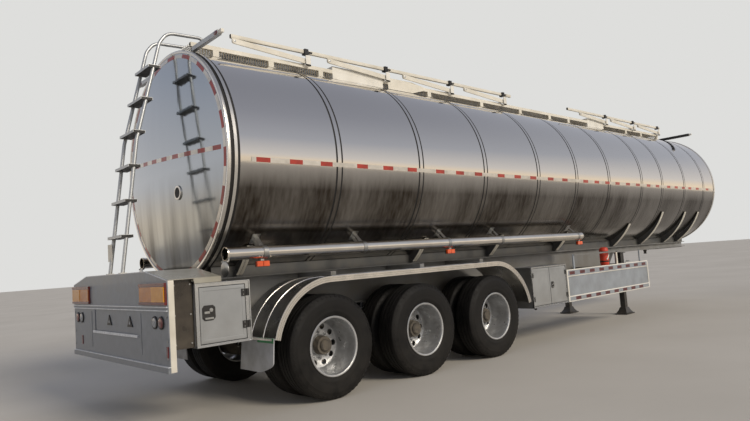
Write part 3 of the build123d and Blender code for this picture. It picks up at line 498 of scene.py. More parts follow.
wings = [(-0.64, 42), (1.90, 42), (3.50, 42), (5.30, 42), (7.30, 49), (8.45, 61), (9.55, 61), (10.25, 61)]
wing_root = (0.1164, 25.76)
wing_tip_gap = 0.022
wing_steps = 16
sill_out = 0.5
bm = bmesh.new()
for side in SIDES.values():
    block(bm, span(-0.915, 10.648), both(side, sill_out - 0.005, sill_out + 0.005), (RAIL_TOP, 1.3835), 1)
    for ahead, tip in wings:
        shares = [n / wing_steps for n in range(wing_steps + 1)]
        bends = [(wing_root[0] + s * (wing_tip_gap - wing_root[0]), wing_root[1] + s * (tip - wing_root[1]))
                 for s in shares]
        outer = [round_tank(gap, angle, side) for gap, angle in bends]
        inner = [round_tank(gap - 0.006, angle, side) for gap, angle in bends]
        upper = [round_tank(0.0015, tip - s * (tip - 24.75), side) for s in shares]
        web = outer + upper + [(side * sill_out, RAIL_TOP), (side * 0.57, RAIL_TOP)]
        plate(bm, web, crosswise, ahead - 0.006, ahead + 0.006, 1)
        plate(bm, outer + inner[::-1], crosswise, ahead - 0.035, ahead + 0.035, 0)
        # A gusset on each side of the web, down to the rail's flange
        for out in (-1, 1):
            foot = [(0.515, RAIL_TOP), (0.566, RAIL_TOP), (0.566, RAIL_TOP + 0.016), (0.515, RAIL_TOP + 0.07)]
            plate(bm, on_side(side, foot), crosswise, ahead + out * 0.006, ahead + out * 0.03, 1)
finish_piece("tank_wings", bm, [cream_paint, painted_shade_steel], "trailer", ["tank_supports"],
             bevel=0.0015)

# Chassis: two welded I-beams with a shallow neck over the coupling, tied by cross beams, with spring
# hangers, outriggers and fender arms welded to their webs. All of it is sprayed grey and dusty.
chassis_paint = weathered("grey_chassis_enamel", "6E7071", "5B5C5B", 0.0, (0.4, 0.62), 0.3, 0.005, 0.0004,
                          dust=0.75, coat=0.1)


def softened(name, node, material, bevel):
    """A copy of a solid with its loose triangles joined and its edges eased."""
    bm = bmesh.new()
    bm.from_mesh(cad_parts[node].data)
    bmesh.ops.remove_doubles(bm, verts=bm.verts, dist=1e-5)
    bmesh.ops.dissolve_limit(bm, angle_limit=math.radians(1), verts=bm.verts, edges=bm.edges)
    return finish_piece(name, bm, [material], "trailer", [node], bevel)


softened("main_rails", "chassis_rails", chassis_paint, 0.003)
softened("rail_cross_beams", "cross_beams", chassis_paint, 0.004)
softened("rail_brackets", "chassis_brackets", chassis_paint, 0.003)

# Coupler plate: a thick greased rubbing plate under the neck, with a forged kingpin bolted in its seat
greased_steel = weathered("greased_steel", "2B2A29", "4A4642", 0.8, (0.25, 0.55), 0.12, 0.004, 0.0003)
softened("rubbing_plate", "coupler_plate", greased_steel, 0.002)


def circle(radius, steps, centre=(0.0, 0.0), start=0.0):
    """The corners of a circle in an outline."""
    return [(centre[0] + radius * math.cos(start + 2 * math.pi * n / steps),
             centre[1] + radius * math.sin(start + 2 * math.pi * n / steps)) for n in range(steps)]


bm = bmesh.new()
kingpin_ahead, kingpin_bolt_circle = 9.85, 0.07
for at in circle(kingpin_bolt_circle, 8, (kingpin_ahead, 0.0)):
    plate(bm, circle(0.008, 6, at), level, 1.136, 1.1425)
finish_piece("kingpin_bolts", bm, [greased_steel], "trailer", bevel=0.001)

# Landing legs: square telescopic steel legs with flared sand feet, plates and braces to the rails, a
# cross shaft, a gearbox on the right and a folded crank handle. Black paint with a little dust.
black_enamel = weathered("black_chassis_enamel", "0F0F10", "1A1918", 0.0, (0.32, 0.6), 0.12, 0.004, 0.0004,
                         dust=0.12, coat=0.15)
bright_steel = weathered("zinc_plated_steel", "A9ABAA", "8D8E8C", 0.9, (0.3, 0.5), 0.05, 0.002, 0.0002,
                         dust=0.3)


def tube(bm, path, radius, sides=12, slot=0):
    """A round bar along a path of points, mitred at its corners and closed at its ends."""
    path = [Vector(point) for point in path]
    runs = [(b - a).normalized() for a, b in zip(path, path[1:])]
    across = runs[0].orthogonal().normalized()
    up = runs[0].cross(across)
    offsets = [radius * (across * math.cos(t) + up * math.sin(t))
               for t in (2 * math.pi * n / sides for n in range(sides))]
    rows = [[path[0] + o for o in offsets]]
    for n in range(1, len(runs)):
        before, after = runs[n - 1], runs[n]
        mitre = (before + after).normalized()
        rows.append([path[n] + o - before * (o.dot(mitre) / before.dot(mitre)) for o in offsets])
        offsets = [before.rotation_difference(after) @ o for o in offsets]
    rows.append([path[-1] + o for o in offsets])
    skin(bm, [[bm.verts.new(point) for point in row] for row in rows], slot)


def rounded(path, radius, steps=6):
    """The path with each inner corner turned into an arc."""
    path = [Vector(point) for point in path]
    made = [path[0]]
    for before, corner, after in zip(path, path[1:], path[2:]):
        back, on = (before - corner).normalized(), (after - corner).normalized()
        half = back.angle(on) / 2
        setback = min(radius / math.tan(half), (before - corner).length * 0.49,
                      (after - corner).length * 0.49)
        centre = corner + (back + on).normalized() * setback / math.cos(half)
        start, end = corner + back * setback - centre, corner + on * setback - centre
        swing = start.rotation_difference(end)
        made += [centre + Quaternion().slerp(swing, n / steps) @ start for n in range(steps + 1)]
    return made + [path[-1]]


leg_ahead = 7.43
leg_out = 0.58
neck_bottom = 1.16
shaft_height = 0.76
bm = bmesh.new()
for side in SIDES.values():
    y = side * leg_out
    # Top plate, outer leg, its collar and the inner leg
    for half_long, half_wide, bottom, top in ((0.11, 0.08, neck_bottom - 0.014, neck_bottom),
                                              (0.06, 0.06, 0.47, neck_bottom - 0.014),
                                              (0.065, 0.065, 0.47, 0.50), (0.048, 0.048, 0.13, 0.47)):
        block(bm, around(leg_ahead, half_long), (y - half_wide, y + half_wide), (bottom, top))
    # Sand foot: a pad with turned-up ends and a flared shoe
    rows = []
    for half_long, half_wide, z in ((0.145, 0.110, 0.0), (0.160, 0.120, 0.008), (0.160, 0.120, 0.02),
                                    (0.130, 0.098, 0.03), (0.088, 0.075, 0.075), (0.062, 0.056, 0.13)):
        rows.append([bm.verts.new((x_of(leg_ahead) + sx * half_long, y + sy * half_wide, z))
                     for sx, sy in ((-1, -1), (1, -1), (1, 1), (-1, 1))])
    skin(bm, rows)
    # Braces to the rear, and to the middle
    tube(bm, [(x_of(leg_ahead - 0.06), y, 0.62), (x_of(leg_ahead - 0.42), side * 0.5, 1.10)], 0.022, 10)
    tube(bm, [(x_of(leg_ahead), y - side * 0.06, 0.66), (x_of(leg_ahead), side * 0.1, 1.13)], 0.020, 10)
block(bm, around(leg_ahead, 0.03), (-0.14, 0.14), (1.10, 1.165))
tube(bm, [(x_of(leg_ahead), -leg_out, shaft_height), (x_of(leg_ahead), leg_out, shaft_height)], 0.016, 12, 1)
gear_inner = leg_out + 0.06
block(bm, around(leg_ahead, 0.075), (-gear_inner - 0.045, -gear_inner), (0.67, 0.87))
turned(bm, [(-gear_inner - 0.045, 0.0), (-gear_inner - 0.045, 0.05), (-gear_inner - 0.06, 0.045),
            (-gear_inner - 0.06, 0.0)], 24, line_across(leg_ahead, 0.77))
crank_y, crank_tip = -gear_inner - 0.056, x_of(leg_ahead) + 0.13
tube(bm, rounded([(x_of(leg_ahead), crank_y, 0.77), (x_of(leg_ahead), crank_y, 0.99),
                  (crank_tip, crank_y, 0.99)], 0.03), 0.009, 10, 1)
tube(bm, [(crank_tip, crank_y, 0.99), (crank_tip - 0.09, crank_y, 0.99)], 0.014, 12, 1)
finish_piece("landing_gear", bm, [black_enamel, bright_steel], "trailer", ["landing_legs"],
             bevel=0.003)

# Axles and springs: square axle beams with spindles, stacked leaf springs held down by U-bolts and
# plates, two air reservoirs in straps under the cross beams, and the bottom outlet with its valve.


def strap(bm, low, high, inner, outer, place):
    """A flat band round a turned shape, between two places along it."""
    turned(bm, [(low, inner), (low, outer), (high, outer), (high, inner)], 40, place, closed=True,
           slots=[1] * 4)


spring_steel = weathered("oiled_spring_steel", "262524", "3B3733", 0.5, (0.4, 0.7), 0.08, 0.004, 0.0004,
                         dust=0.5)
softened("axle_bars", "axle_beams", black_enamel, 0.004)
softened("spring_packs", "leaf_springs", spring_steel, 0.002)
axles = {"rear": 0.0, "middle": 1.32, "front": 2.64}
bm = bmesh.new()
for axle in axles.values():
    for side in SIDES.values():
        y = side * 0.5
        for low, high in ((0.437, 0.449), (0.644, 0.656)):
            block(bm, around(axle, 0.09), (y - 0.05, y + 0.05), (low, high))
        for ahead in (axle - 0.075, axle + 0.075):
            for out in (y - 0.046, y + 0.046):
                tube(bm, [(x_of(ahead), out, 0.42), (x_of(ahead), out, 0.668)], 0.008, 8, 1)
                for low, high in ((0.656, 0.669), (0.424, 0.437)):
                    plate(bm, circle(0.013, 6, (ahead, out)), level, low, high, 1)
finish_piece("u_bolts", bm, [spring_steel, bright_steel], "trailer", bevel=0.001)

reservoir_half, reservoir_height = 0.38, 0.850
bm = bmesh.new()
for ahead in (4.5, 6.6):
    ends = [(0.0, 0.0), (0.004, 0.05), (0.016, 0.09), (0.036, 0.117), (0.062, 0.129), (0.07, 0.130)]
    shape = [(-reservoir_half + a, r) for a, r in ends] + [(reservoir_half - a, r) for a, r in ends[::-1]]
    turned(bm, shape, 40, line_across(ahead, reservoir_height))
    for y in (-0.22, 0.22):
        strap(bm, y - 0.02, y + 0.02, 0.1305, 0.1335, line_across(ahead, reservoir_height))
        block(bm, around(ahead, 0.02), (y - 0.02, y + 0.02), (0.978, 0.985), 1)
    tube(bm, [(x_of(ahead), 0.0, reservoir_height - 0.138), (x_of(ahead), 0.0, reservoir_height - 0.12)],
         0.014, 12, 1)
finish_piece("reservoirs", bm, [black_enamel, bright_steel], "trailer", ["air_reservoirs"])

outlet_ahead = 5.38
bm = bmesh.new()
body_of_outlet = [(0.960, 0.050), (0.960, 0.103), (0.962, 0.105), (0.978, 0.105), (0.980, 0.103),
                  (0.980, 0.060), (1.02, 0.057), (1.05, 0.057), (1.06, 0.075), (1.11, 0.078), (1.16, 0.075),
                  (1.17, 0.057), (1.262, 0.057), (1.262, 0.050)]
turned(bm, body_of_outlet, 48, line_up(outlet_ahead), closed=True)
block(bm, around(outlet_ahead, 0.09), (-0.09, 0.09), (1.262, 1.2755))
for at in circle(0.085, 4, (outlet_ahead, 0.0), math.pi / 4):
    plate(bm, circle(0.014, 6, at), level, 0.980, 0.990, 1)
tube(bm, [(x_of(outlet_ahead), -0.07, 1.11), (x_of(outlet_ahead), -0.12, 1.11)], 0.012, 12, 1)
tube(bm, rounded([(x_of(outlet_ahead), -0.12, 1.11), (x_of(outlet_ahead - 0.04), -0.125, 1.11),
                  (x_of(outlet_ahead - 0.22), -0.125, 1.08)], 0.03), 0.008, 10, 1)
satin_stainless = weathered("satin_stainless", "B9BAB8", "A3A19C", 1.0, (0.25, 0.42), 0.07, 0.002, 0.0001,
                            dust=0.3)
finish_piece("outlet_valve", bm, [satin_stainless, bright_steel], "trailer", ["discharge_outlet"],
             crease=30)

# Wheels: twin 22.5 inch tyres on deep-dished steel rims. The tyre's tread has three grooves and a row
# of lugs on each shoulder; the rim is sprayed silver, with round hand holes and ten nuts on the hub.
# Tyre rubber: black with a faint grey bloom and fine moulding lines.
rubber = weathered("tyre_rubber", "0A0A0B", "121213", 0.0, (0.5, 0.75), 0.10, 0.003, 0.0005, dust=0.04)
rubber.node_tree.nodes["Principled BSDF"].inputs["Specular IOR Level"].default_value = 0.2
rim_paint = weathered("silver_rim_enamel", "BFC1C3", "A3A5A7", 0.7, (0.22, 0.4), 0.08, 0.002, 0.0002,
                      dust=0.2, coat=0.3)
hub_steel = weathered("dusty_hub_iron", "3A3836", "575149", 0.4, (0.5, 0.75), 0.05, 0.003, 0.0005, dust=0.4)
hub_height = 0.52
outer_tyre, inner_tyre = 1.108, 0.775
tread = [(0.1, 0.5165)]
for groove in (0.052, 0.0, -0.052):
    tread += [(groove + 0.0065, 0.5192), (groove + 0.0045, 0.507), (groove - 0.0045, 0.507),
              (groove - 0.0065, 0.5192)]
tread += [(-0.1, 0.5165)]
sidewall = [(0.108, 0.511), (0.117, 0.499), (0.1265, 0.478), (0.1335, 0.452), (0.135, 0.450), (0.1375, 0.425),
            (0.139, 0.405), (0.1385, 0.380), (0.1355, 0.352), (0.136, 0.349), (0.130, 0.325), (0.1245, 0.312),
            (0.1235, 0.303), (0.117, 0.291), (0.112, 0.287)]
tyre_profile = [(-y, r) for y, r in sidewall[::-1]] + tread[::-1] + sidewall
lugs = 56


def wheel_place(centre_y, side):
    """Turned shapes about a wheel's axis, made at the origin, and turned round for the other side."""
    return lambda along, u, v: (u, side * (centre_y + along), v)


def pierced(loops, thickness):
    """A flat plate on the XY plane: the first loop is its outline, the others are its holes."""
    outline = bpy.data.curves.new("outline", "CURVE")
    outline.dimensions, outline.fill_mode, outline.extrude = "2D", "BOTH", thickness / 2
    for loop in loops:
        line = outline.splines.new("POLY")
        line.points.add(len(loop) - 1)
        for point, (u, v) in zip(line.points, loop):
            point.co = (u, v, 0, 1)
        line.use_cyclic_u = True
    holder = bpy.data.objects.new("outline", outline)
    bpy.context.scene.collection.objects.link(holder)
    made = bpy.data.meshes.new_from_object(holder)
    bpy.data.objects.remove(holder)
    return made


# Rim, from the outer lip in along the dish, and back over the bead seat
rim_profile = [(1.226, 0.287), (1.228, 0.296), (1.234, 0.299), (1.238, 0.295), (1.238, 0.286), (1.234, 0.278),
               (1.222, 0.272), (1.196, 0.270), (1.150, 0.265), (1.090, 0.259), (1.030, 0.254), (0.990, 0.247),
               (0.972, 0.240), (0.963, 0.231), (0.933, 0.231), (0.933, 0.245), (0.68, 0.266), (0.662, 0.272),
               (0.657, 0.280), (0.657, 0.286), (1.0, 0.2865)]
hub_profile = [(0.640, 0.0), (0.640, 0.205), (0.900, 0.205), (0.932, 0.196), (0.932, 0.16), (0.975, 0.157),
               (0.975, 0.112), (1.00, 0.098), (1.062, 0.092), (1.073, 0.088), (1.073, 0.062), (1.090, 0.059),
               (1.101, 0.048), (1.101, 0.0)]
for side_name, side in SIDES.items():
    for axle_name, axle in axles.items():
        there = Matrix.Translation((x_of(axle), 0, hub_height))
        bm = bmesh.new()
        for centre in (inner_tyre, outer_tyre):
            turned(bm, tyre_profile, 84, wheel_place(centre, side), closed=True)
            for shoulder in (-1, 1):
                # One lug on the shoulder: it stands out from the sidewall's edge, and wraps onto the tread
                lug = bmesh.new()
                y = [side * (centre + shoulder * w) for w in (0.094, 0.108, 0.1265, 0.121, 0.100)]
                z = (0.5175, 0.5145, 0.488, 0.480, 0.505)
                rows = [[lug.verts.new((x, a, b)) for a, b in zip(y, z)] for x in (-0.0115, 0.0115)]
                skin(lug, rows)
                take_in(bm, repeated(lug, rubber, lugs, turn=(0, 2 * math.pi / lugs, 0)))
        bm.transform(there)
        body = f"wheels_{axle_name}_{side_name}"
        finish_piece(f"twin_tyres_{axle_name}_{side_name}", bm, [rubber], body,
                     [f"tyres_{axle_name}_{side_name}"], crease=28)

        bm = bmesh.new()
        turned(bm, rim_profile, 72, wheel_place(0, side), closed=True)
        holes = [circle(0.030, 20, centre) for centre in circle(0.190, 10)]
        disc = pierced([circle(0.233, 72), circle(0.150, 48)] + holes, 0.012)
        take_in(bm, disc, 0, Matrix.Translation((0, side * 0.957, 0)) @ Matrix.Rotation(math.pi / 2, 4, "X"))
        turned(bm, hub_profile, 48, wheel_place(0, side), slots=[1] * 5 + [0] * 2 + [1] * 7)
        nut = bmesh.new()
        face = side * 0.975
        rows = [[nut.verts.new((u, y, 0.134 + v)) for u, v in circle(r, 6)]
                for y, r in ((face, 0.0165), (face + side * 0.015, 0.0165), (face + side * 0.018, 0.013))]
        skin(nut, rows, floor=False)
        stud = [[nut.verts.new((u, y, 0.134 + v)) for u, v in circle(0.010, 8)]
                for y in (face, face + side * 0.032)]
        skin(nut, stud, floor=False)
        take_in(bm, repeated(nut, rim_paint, 10, turn=(0, 2 * math.pi / 10, 0)), 0)
        bmesh.ops.remove_doubles(bm, verts=bm.verts, dist=1e-6)
        bm.transform(there)
        finish_piece(f"twin_rims_{axle_name}_{side_name}", bm, [rim_paint, hub_steel], body,
                     [f"rims_{axle_name}_{side_name}"], crease=32)

# Fenders: a rolled aluminium sheet over the three wheels of each side, stiffened by two pressed ribs,
# with an extruded ribbed trim strip clipped along its outer edge.
fender_inner = 0.640
fender_top = 1.215
fender_bends = [(2.70, 0.745, 12, 90), (0.0, 0.710, 90, 166)]
fender_steps = 26


def along_fender(bm, section, side, slot=0):
    """Carries a section along the fender; the section lists distance out, depth under the outer surface."""
    rows = []
    for ahead, radius, start, end in fender_bends:
        for n in range(fender_steps + 1):
            turn = math.radians(start + (end - start) * n / fender_steps)
            rows.append([bm.verts.new((x_of(ahead) + (radius - depth) * math.cos(turn), side * out,
                                       fender_top - radius + (radius - depth) * math.sin(turn)))
                         for out, depth in section])
    skin(bm, rows, slot)


fender_sheet = weathered("rolled_aluminium_sheet", "ABADAF", "8F9094", 1.0, (0.2, 0.36), 0.15, 0.003, 0.0001,
                         dust=0.4)
trim_aluminium = weathered("anodised_aluminium", "E6E2DB", "D2CEC7", 1.0, (0.16, 0.26), 0.1, 0.002, 0.0001,
                           dust=0.1)
sheet_section = [(fender_inner, 0.007), (1.239, 0.007), (1.239, 0.010), (fender_inner, 0.010)]
trim_section = [(1.237, 0.0), (1.2485, 0.0), (1.25, 0.002), (1.25, 0.016), (1.2462, 0.018), (1.2462, 0.022),
                (1.25, 0.024), (1.25, 0.036), (1.2462, 0.038), (1.2462, 0.042), (1.25, 0.044), (1.25, 0.058),
                (1.2485, 0.060), (1.237, 0.060)]
bm = bmesh.new()
for side in SIDES.values():
    along_fender(bm, sheet_section, side)
    along_fender(bm, trim_section, side, 1)
    for rib in (0.80, 1.02):
        along_fender(bm, [(rib - 0.011, 0.007), (rib - 0.008, 0.0015), (rib - 0.005, 0.0005),
                          (rib + 0.005, 0.0005), (rib + 0.008, 0.0015), (rib + 0.011, 0.007)], side, 1)
finish_piece("fender_sheets", bm, [fender_sheet, trim_aluminium], "trailer", ["fenders"],
             crease=24)

# Mud flaps: thick pale rubber sheets bolted behind a strip at the rear end of each fender, a little
# bowed, with a green band over the outer half of the top and a thicker moulded hem.
flap_rubber = weathered("grey_flap_rubber", "B4B8BE", "A2A6AC", 0.0, (0.55, 0.75), 0.12, 0.003, 0.0003,
                        dust=0.3)
green_rubber = weathered("green_rubber_band", "2F9159", "277A4A", 0.0, (0.5, 0.7), 0.1, 0.003, 0.0003,
                         dust=0.2)
bm = bmesh.new()
flap_x, flap_top, flap_drop = -0.694, 0.69, 0.325
flap_rows, flap_columns = 14, 14
for side in SIDES.values():
    for front in (0, 1):
        rows = []
        for r in range(flap_rows + 1):
            down = r / flap_rows
            inner = 0.66 - 0.06 * down
            outer = 1.235 - 0.04 * down - (0.0 if down < 0.7 else 0.22 * ((down - 0.7) / 0.3) ** 2)
            row = []
            for c in range(flap_columns + 1):
                share = c / flap_columns
                bow = 0.0035 * math.sin(math.pi * share * 2) * down
                hem = 0.0012 if r in (0, flap_rows) or c in (0, flap_columns) else 0.0
                x = x_of(flap_x) + (0.0035 + hem if front else -0.0035 - hem) + bow * 0.8
                row.append(bm.verts.new((x, side * (inner + (outer - inner) * share),
                                         flap_top - flap_drop * down)))
            rows.append(row)
        for r in range(flap_rows):
            for c in range(flap_columns):
                face = bm.faces.new([rows[r][c], rows[r][c + 1], rows[r + 1][c + 1], rows[r + 1][c]])
                face.material_index = 1 if r < 2 and c >= flap_columns / 2 else 0
        if front:
            edge_front = rows
        else:
            edge_rear = rows
    for pair in (edge_front, edge_rear):
        pair.append([row[0] for row in pair[:flap_rows + 1]])
        pair.append([row[-1] for row in pair[:flap_rows + 1]])
    for line in (0, flap_rows, flap_rows + 1, flap_rows + 2):
        near, far = edge_front[line], edge_rear[line]
        for n in range(1, len(near)):
            bm.faces.new([near[n - 1], near[n], far[n], far[n - 1]])
    block(bm, (x_of(flap_x) - 0.0048, x_of(flap_x) - 0.0046 + 0.0005), both(side, 0.66, 1.20), (0.665, 0.685),
          2)
    for n in range(6):
        y = side * (0.70 + 0.09 * n)
        plate(bm, circle(0.007, 6, (y, 0.675)), lambda u, v, d: (x_of(flap_x) + d, u, v), -0.0047, -0.0046, 2)
finish_piece("mud_flap_sheets", bm, [flap_rubber, green_rubber, trim_aluminium], "trailer", ["mud_flaps"],
             crease=50)

# Rear end: a folded galvanised panel across the frame, painted corner posts behind its edges, a light ledge,
# a recess for the plate with a bright strip under it, and an impact bar at the bottom. The panel's dark
# blue-grey is partly painted shade of the rear face, and the bright lips, rim, strip and bar top carry
# painted highlights.
# Galvanised grey darkened and cooled by painted shade of the rear-facing panel
panel_zinc = weathered("galvanised_panel_painted_shade", "6F767F", "868D97", 0.35, (0.3, 0.5), 0.07, 0.004,
                       0.0002, dust=0.3, coat=0.15)
# Pale paint on these edges is a painted highlight, not wear
highlight_edge = weathered("edge_painted_highlight", "D5D9DE", "B9BEC5", 0.2, (0.25, 0.4), 0.06, 0.003, 0.0002)
rear_x = -1.69
lower_x = -1.688
panel_half = 1.25
deck_edge, deck_crown, deck_shoulder = 1.30, 1.385, 0.80
ledge_low, ledge_high = 1.045, 1.084
bm = bmesh.new()
crown = [(-panel_half, 1.075), (panel_half, 1.075), (panel_half, deck_edge), (deck_shoulder, deck_crown),
         (-deck_shoulder, deck_crown), (-panel_half, deck_edge)]
plate(bm, crown, crosswise, rear_x, rear_x + 0.010)
rim_line = crown[2:] + [(y * 0.997, z - 0.007) for y, z in crown[:1:-1]]
plate(bm, rim_line, crosswise, rear_x - 0.0015, rear_x, 1)
recess = oblong(-0.575, 0.575, 0.817, 1.045)
lower = pierced([oblong(-panel_half, panel_half, 0.60, 1.075), recess], 0.008)
facing_back = Matrix(((0, 0, -1, 0), (1, 0, 0, 0), (0, 1, 0, 0), (0, 0, 0, 1)))
take_in(bm, lower, 0, Matrix.Translation((x_of(lower_x + 0.004), 0, 0)) @ facing_back)
block(bm, span(lower_x + 0.006, lower_x + 0.008), (-0.58, 0.58), (0.81, 1.055))
for low, high in (((-0.575, 1.035), (0.575, 1.045)), ((-0.575, 0.829), (-0.565, 1.035)),
                  ((0.565, 0.829), (0.575, 1.035))):
    block(bm, span(lower_x, lower_x + 0.006), (low[0], high[0]), (low[1], high[1]))
# The ledge is a channel: two lips in a pale painted highlight with the darker web between them
for low, high, depth, slot in ((ledge_low, ledge_low + 0.009, 0.012, 1),
                               (ledge_high - 0.009, ledge_high, 0.012, 1),
                               (ledge_low + 0.009, ledge_high - 0.009, 0.004, 0)):
    block(bm, span(rear_x - depth, rear_x), (-panel_half, panel_half), (low, high), slot)
block(bm, span(rear_x - 0.012, lower_x), (-0.599, 0.599), (0.805, 0.829), 1)
block(bm, span(-1.704, -1.65), (-1.2485, 1.2485), (0.545, 0.593))
block(bm, span(-1.704, -1.65), (-1.2485, 1.2485), (0.593, 0.60), 1)
for side in SIDES.values():
    block(bm, span(-1.68, -1.63), both(side, 1.20, 1.25), (0.55, 1.294), 2)
    # A pressed stiffening rib each side of the recess, and a row of bolts down each edge
    block(bm, span(lower_x - 0.003, lower_x), both(side, 0.66, 0.675), (0.66, 1.02))
    for z in (0.66, 0.80, 1.00):
        plate(bm, circle(0.009, 6, (side * 1.222, z)), crosswise, lower_x - 0.005, lower_x, 3)
finish_piece("rear_panels", bm, [panel_zinc, highlight_edge, cream_paint, bright_steel], "trailer",
             ["rear_panel"], bevel=0.0015)

# Rear deck: a thin crowned sheet behind the tank on two ribs, with side sheets below it whose dark brown is
# painted shade
deck_paint = weathered("pale_deck_paint", "9E9B8F", "8C897C", 0.0, (0.25, 0.42), 0.25, 0.004, 0.0002,
                       dust=0.3, coat=0.4)
# Dark brown in place of the shade beside the rear box: painted shade, not oil
dark_sheet = weathered("side_sheet_painted_shade", "2C2722", "3B342B", 0.4, (0.2, 0.4), 0.15, 0.004, 0.0003, dust=0.3,
                       coat=0.3)
bm = bmesh.new()
under = [(-panel_half, deck_edge - 0.006), (-deck_shoulder, deck_crown - 0.006),
         (deck_shoulder, deck_crown - 0.006), (panel_half, deck_edge - 0.006)]
over = [(panel_half, deck_edge), (deck_shoulder, deck_crown), (-deck_shoulder, deck_crown),
        (-panel_half, deck_edge)]
plate(bm, under + over, crosswise, -1.68, -1.20)
for ahead in (-1.456, -1.220):
    plate(bm, [(-panel_half, RAIL_TOP)] + under + [(panel_half, RAIL_TOP)], crosswise, ahead, ahead + 0.006)
for side in SIDES.values():
    block(bm, span(-1.63, -1.45), both(side, 1.19, 1.20), (0.72, 1.297), 1)
    block(bm, span(-1.45, -1.20), both(side, 1.238, 1.249), (1.252, 1.296))
    for z in (0.76, 1.0, 1.25):
        for ahead in (-1.61, -1.47):
            plate(bm, circle(0.008, 6, (ahead, z)), sideways, side * 1.2, side * 1.2045, 2)
finish_piece("rear_deck_sheet", bm, [deck_paint, dark_sheet, bright_steel], "trailer", ["rear_deck"],
             bevel=0.0015)

# Tail lamps: long amber lenses in a dark red moulded frame, round lamps in rubber rings below them,
# dark triangular reflectors with light hearts, and small red upright ones. Acrylic with moulded ribs.


def lens(name, code, shade):
    """Moulded acrylic: deep colour under a clear gloss, with fine ribs from the mould."""
    made, tree, surface, place = new_material(name, roughness=0.12, coat=0.6)
    ribs = add_node(tree, "ShaderNodeTexWave", {"bands_direction": "Y"}, Vector=place, Scale=26.0,
                    Distortion=0.0).outputs[0]
    patches = add_node(tree, "ShaderNodeTexNoise", Vector=place, Scale=14.0, Detail=3.0).outputs[0]
    both_shades = add_node(tree, "ShaderNodeMix", {"data_type": "RGBA"},
                           _0=add_node(tree, "ShaderNodeMapRange", Value=patches, From_Min=0.3, From_Max=0.7,
                                       To_Min=0.0, To_Max=1.0).outputs[0], _6=linear(code),
                           _7=linear(shade)).outputs[2]
    tree.links.new(both_shades, surface.inputs["Base Color"])
    bump = add_node(tree, "ShaderNodeBump", Distance=0.0015, Strength=0.6, Height=ribs)
    tree.links.new(bump.outputs[0], surface.inputs["Normal"])
    return made


amber_lens = lens("amber_acrylic", "D4931F", "C27F18")
brown_lens = lens("brown_amber_acrylic", "BD7420", "A8621A")
red_lens = lens("red_acrylic", "6A1013", "520C0F")
clear_lens = lens("clear_acrylic", "8C9197", "787D83")
black_plastic = weathered("black_moulded_plastic", "0E0E0F", "161617", 0.0, (0.35, 0.55), 0.05, 0.0015,
                          0.0001, dust=0.08)
bm = bmesh.new()
for side in SIDES.values():
    inner, outer = 0.69, 1.245
    block(bm, span(-1.705, -1.69), both(side, inner, outer), (1.097, 1.278), 1)
    # The frame's thick top and bottom bands stand proud beside the lens
    for low, high in ((1.097, 1.118), (1.250, 1.278)):
        block(bm, span(-1.713, -1.705), both(side, inner, outer), (low, high), 1)
    block(bm, span(-1.711, -1.705), both(side, inner + 0.014, inner + 0.285), (1.121, 1.247), 4)
    block(bm, span(-1.7145, -1.705), both(side, inner + 0.289, outer - 0.014), (1.121, 1.247), 0)
    for out, slot in ((0.982, 3), (1.113, 1)):
        lamp = line_along(side * out, 0.949)
        turned(bm, [(-1.688, 0.055), (-1.697, 0.055), (-1.699, 0.052), (-1.699, 0.046), (-1.696, 0.044)], 40,
               lamp, slots=[2] * 4)
        turned(bm, [(-1.696, 0.044), (-1.702, 0.040), (-1.705, 0.028), (-1.706, 0.0)], 40, lamp,
               slots=[slot] * 3)
    # The upright reflector sits at the right edge, and further in on the left
    edge = 1.236 if side == SIDES["right"] else 1.0
    plate(bm, [(side * edge, 0.67), (side * edge, 0.76), (side * (edge - 0.03), 0.76),
               (side * (edge - 0.03), 0.67)], crosswise, -1.695, -1.688, 1)
for y in (0.141, -0.399):
    corners = [(y - 0.064, 0.893), (y + 0.064, 0.893), (y, 0.992)]
    plate(bm, corners, crosswise, -1.690, -1.683, 2)
    middle = Vector((y, 0.929))
    plate(bm, [tuple(middle + (Vector(c) - middle) * 0.36) for c in corners], crosswise, -1.692, -1.690, 3)
finish_piece("tail_lamp_set", bm, [amber_lens, red_lens, black_plastic, clear_lens, brown_lens],
             "trailer", ["tail_lamps"], bevel=0.0012)

# Ladder: two bent galvanised tubes up the rear head and over onto the walkway, with six treads pressed
# from non-slip plate, folded down at their edges over a black rubber pad. White plates hold its feet.
galvanised, tree, surface, place = new_material("hot_dip_galvanised_steel", metallic=0.75)
spangle = add_node(tree, "ShaderNodeTexVoronoi", Vector=place, Scale=90.0)
shade = add_node(tree, "ShaderNodeMix", {"data_type": "RGBA"},
                 _0=add_node(tree, "ShaderNodeMapRange", Value=spangle.outputs["Color"], From_Min=0.0,
                             From_Max=1.0, To_Min=0.0, To_Max=1.0).outputs[0], _6=linear("C3C5C5"),
                 _7=linear("ABAEB0")).outputs[2]
tree.links.new(shade, surface.inputs["Base Color"])
tree.links.new(add_node(tree, "ShaderNodeMapRange", Value=spangle.outputs["Distance"], From_Min=0.0,
                        From_Max=0.8, To_Min=0.32, To_Max=0.5).outputs[0], surface.inputs["Roughness"])
bump = add_node(tree, "ShaderNodeBump", Distance=0.0002, Strength=0.4, Height=spangle.outputs["Distance"])
tree.links.new(bump.outputs[0], surface.inputs["Normal"])
ladder_route = [(-1.655, 1.385), (-1.470, 2.70), (-1.200, 3.730), (-1.110, 3.85), (-0.690, 3.868),
                (-0.690, 3.70)]
bm = bmesh.new()
for side in SIDES.values():
    tube(bm, rounded([(x_of(a), side * 0.17, z) for a, z in ladder_route], 0.2, 8), 0.018, 16)
    block(bm, span(-1.685, -1.625), both(side, 0.14, 0.20), (1.385, 1.391), 1)
block(bm, span(-1.650, -1.646), (0.113, 0.227), (1.51, 1.68), 1)
block(bm, span(-1.648, -1.625), (0.155, 0.185), (1.57, 1.62), 1)
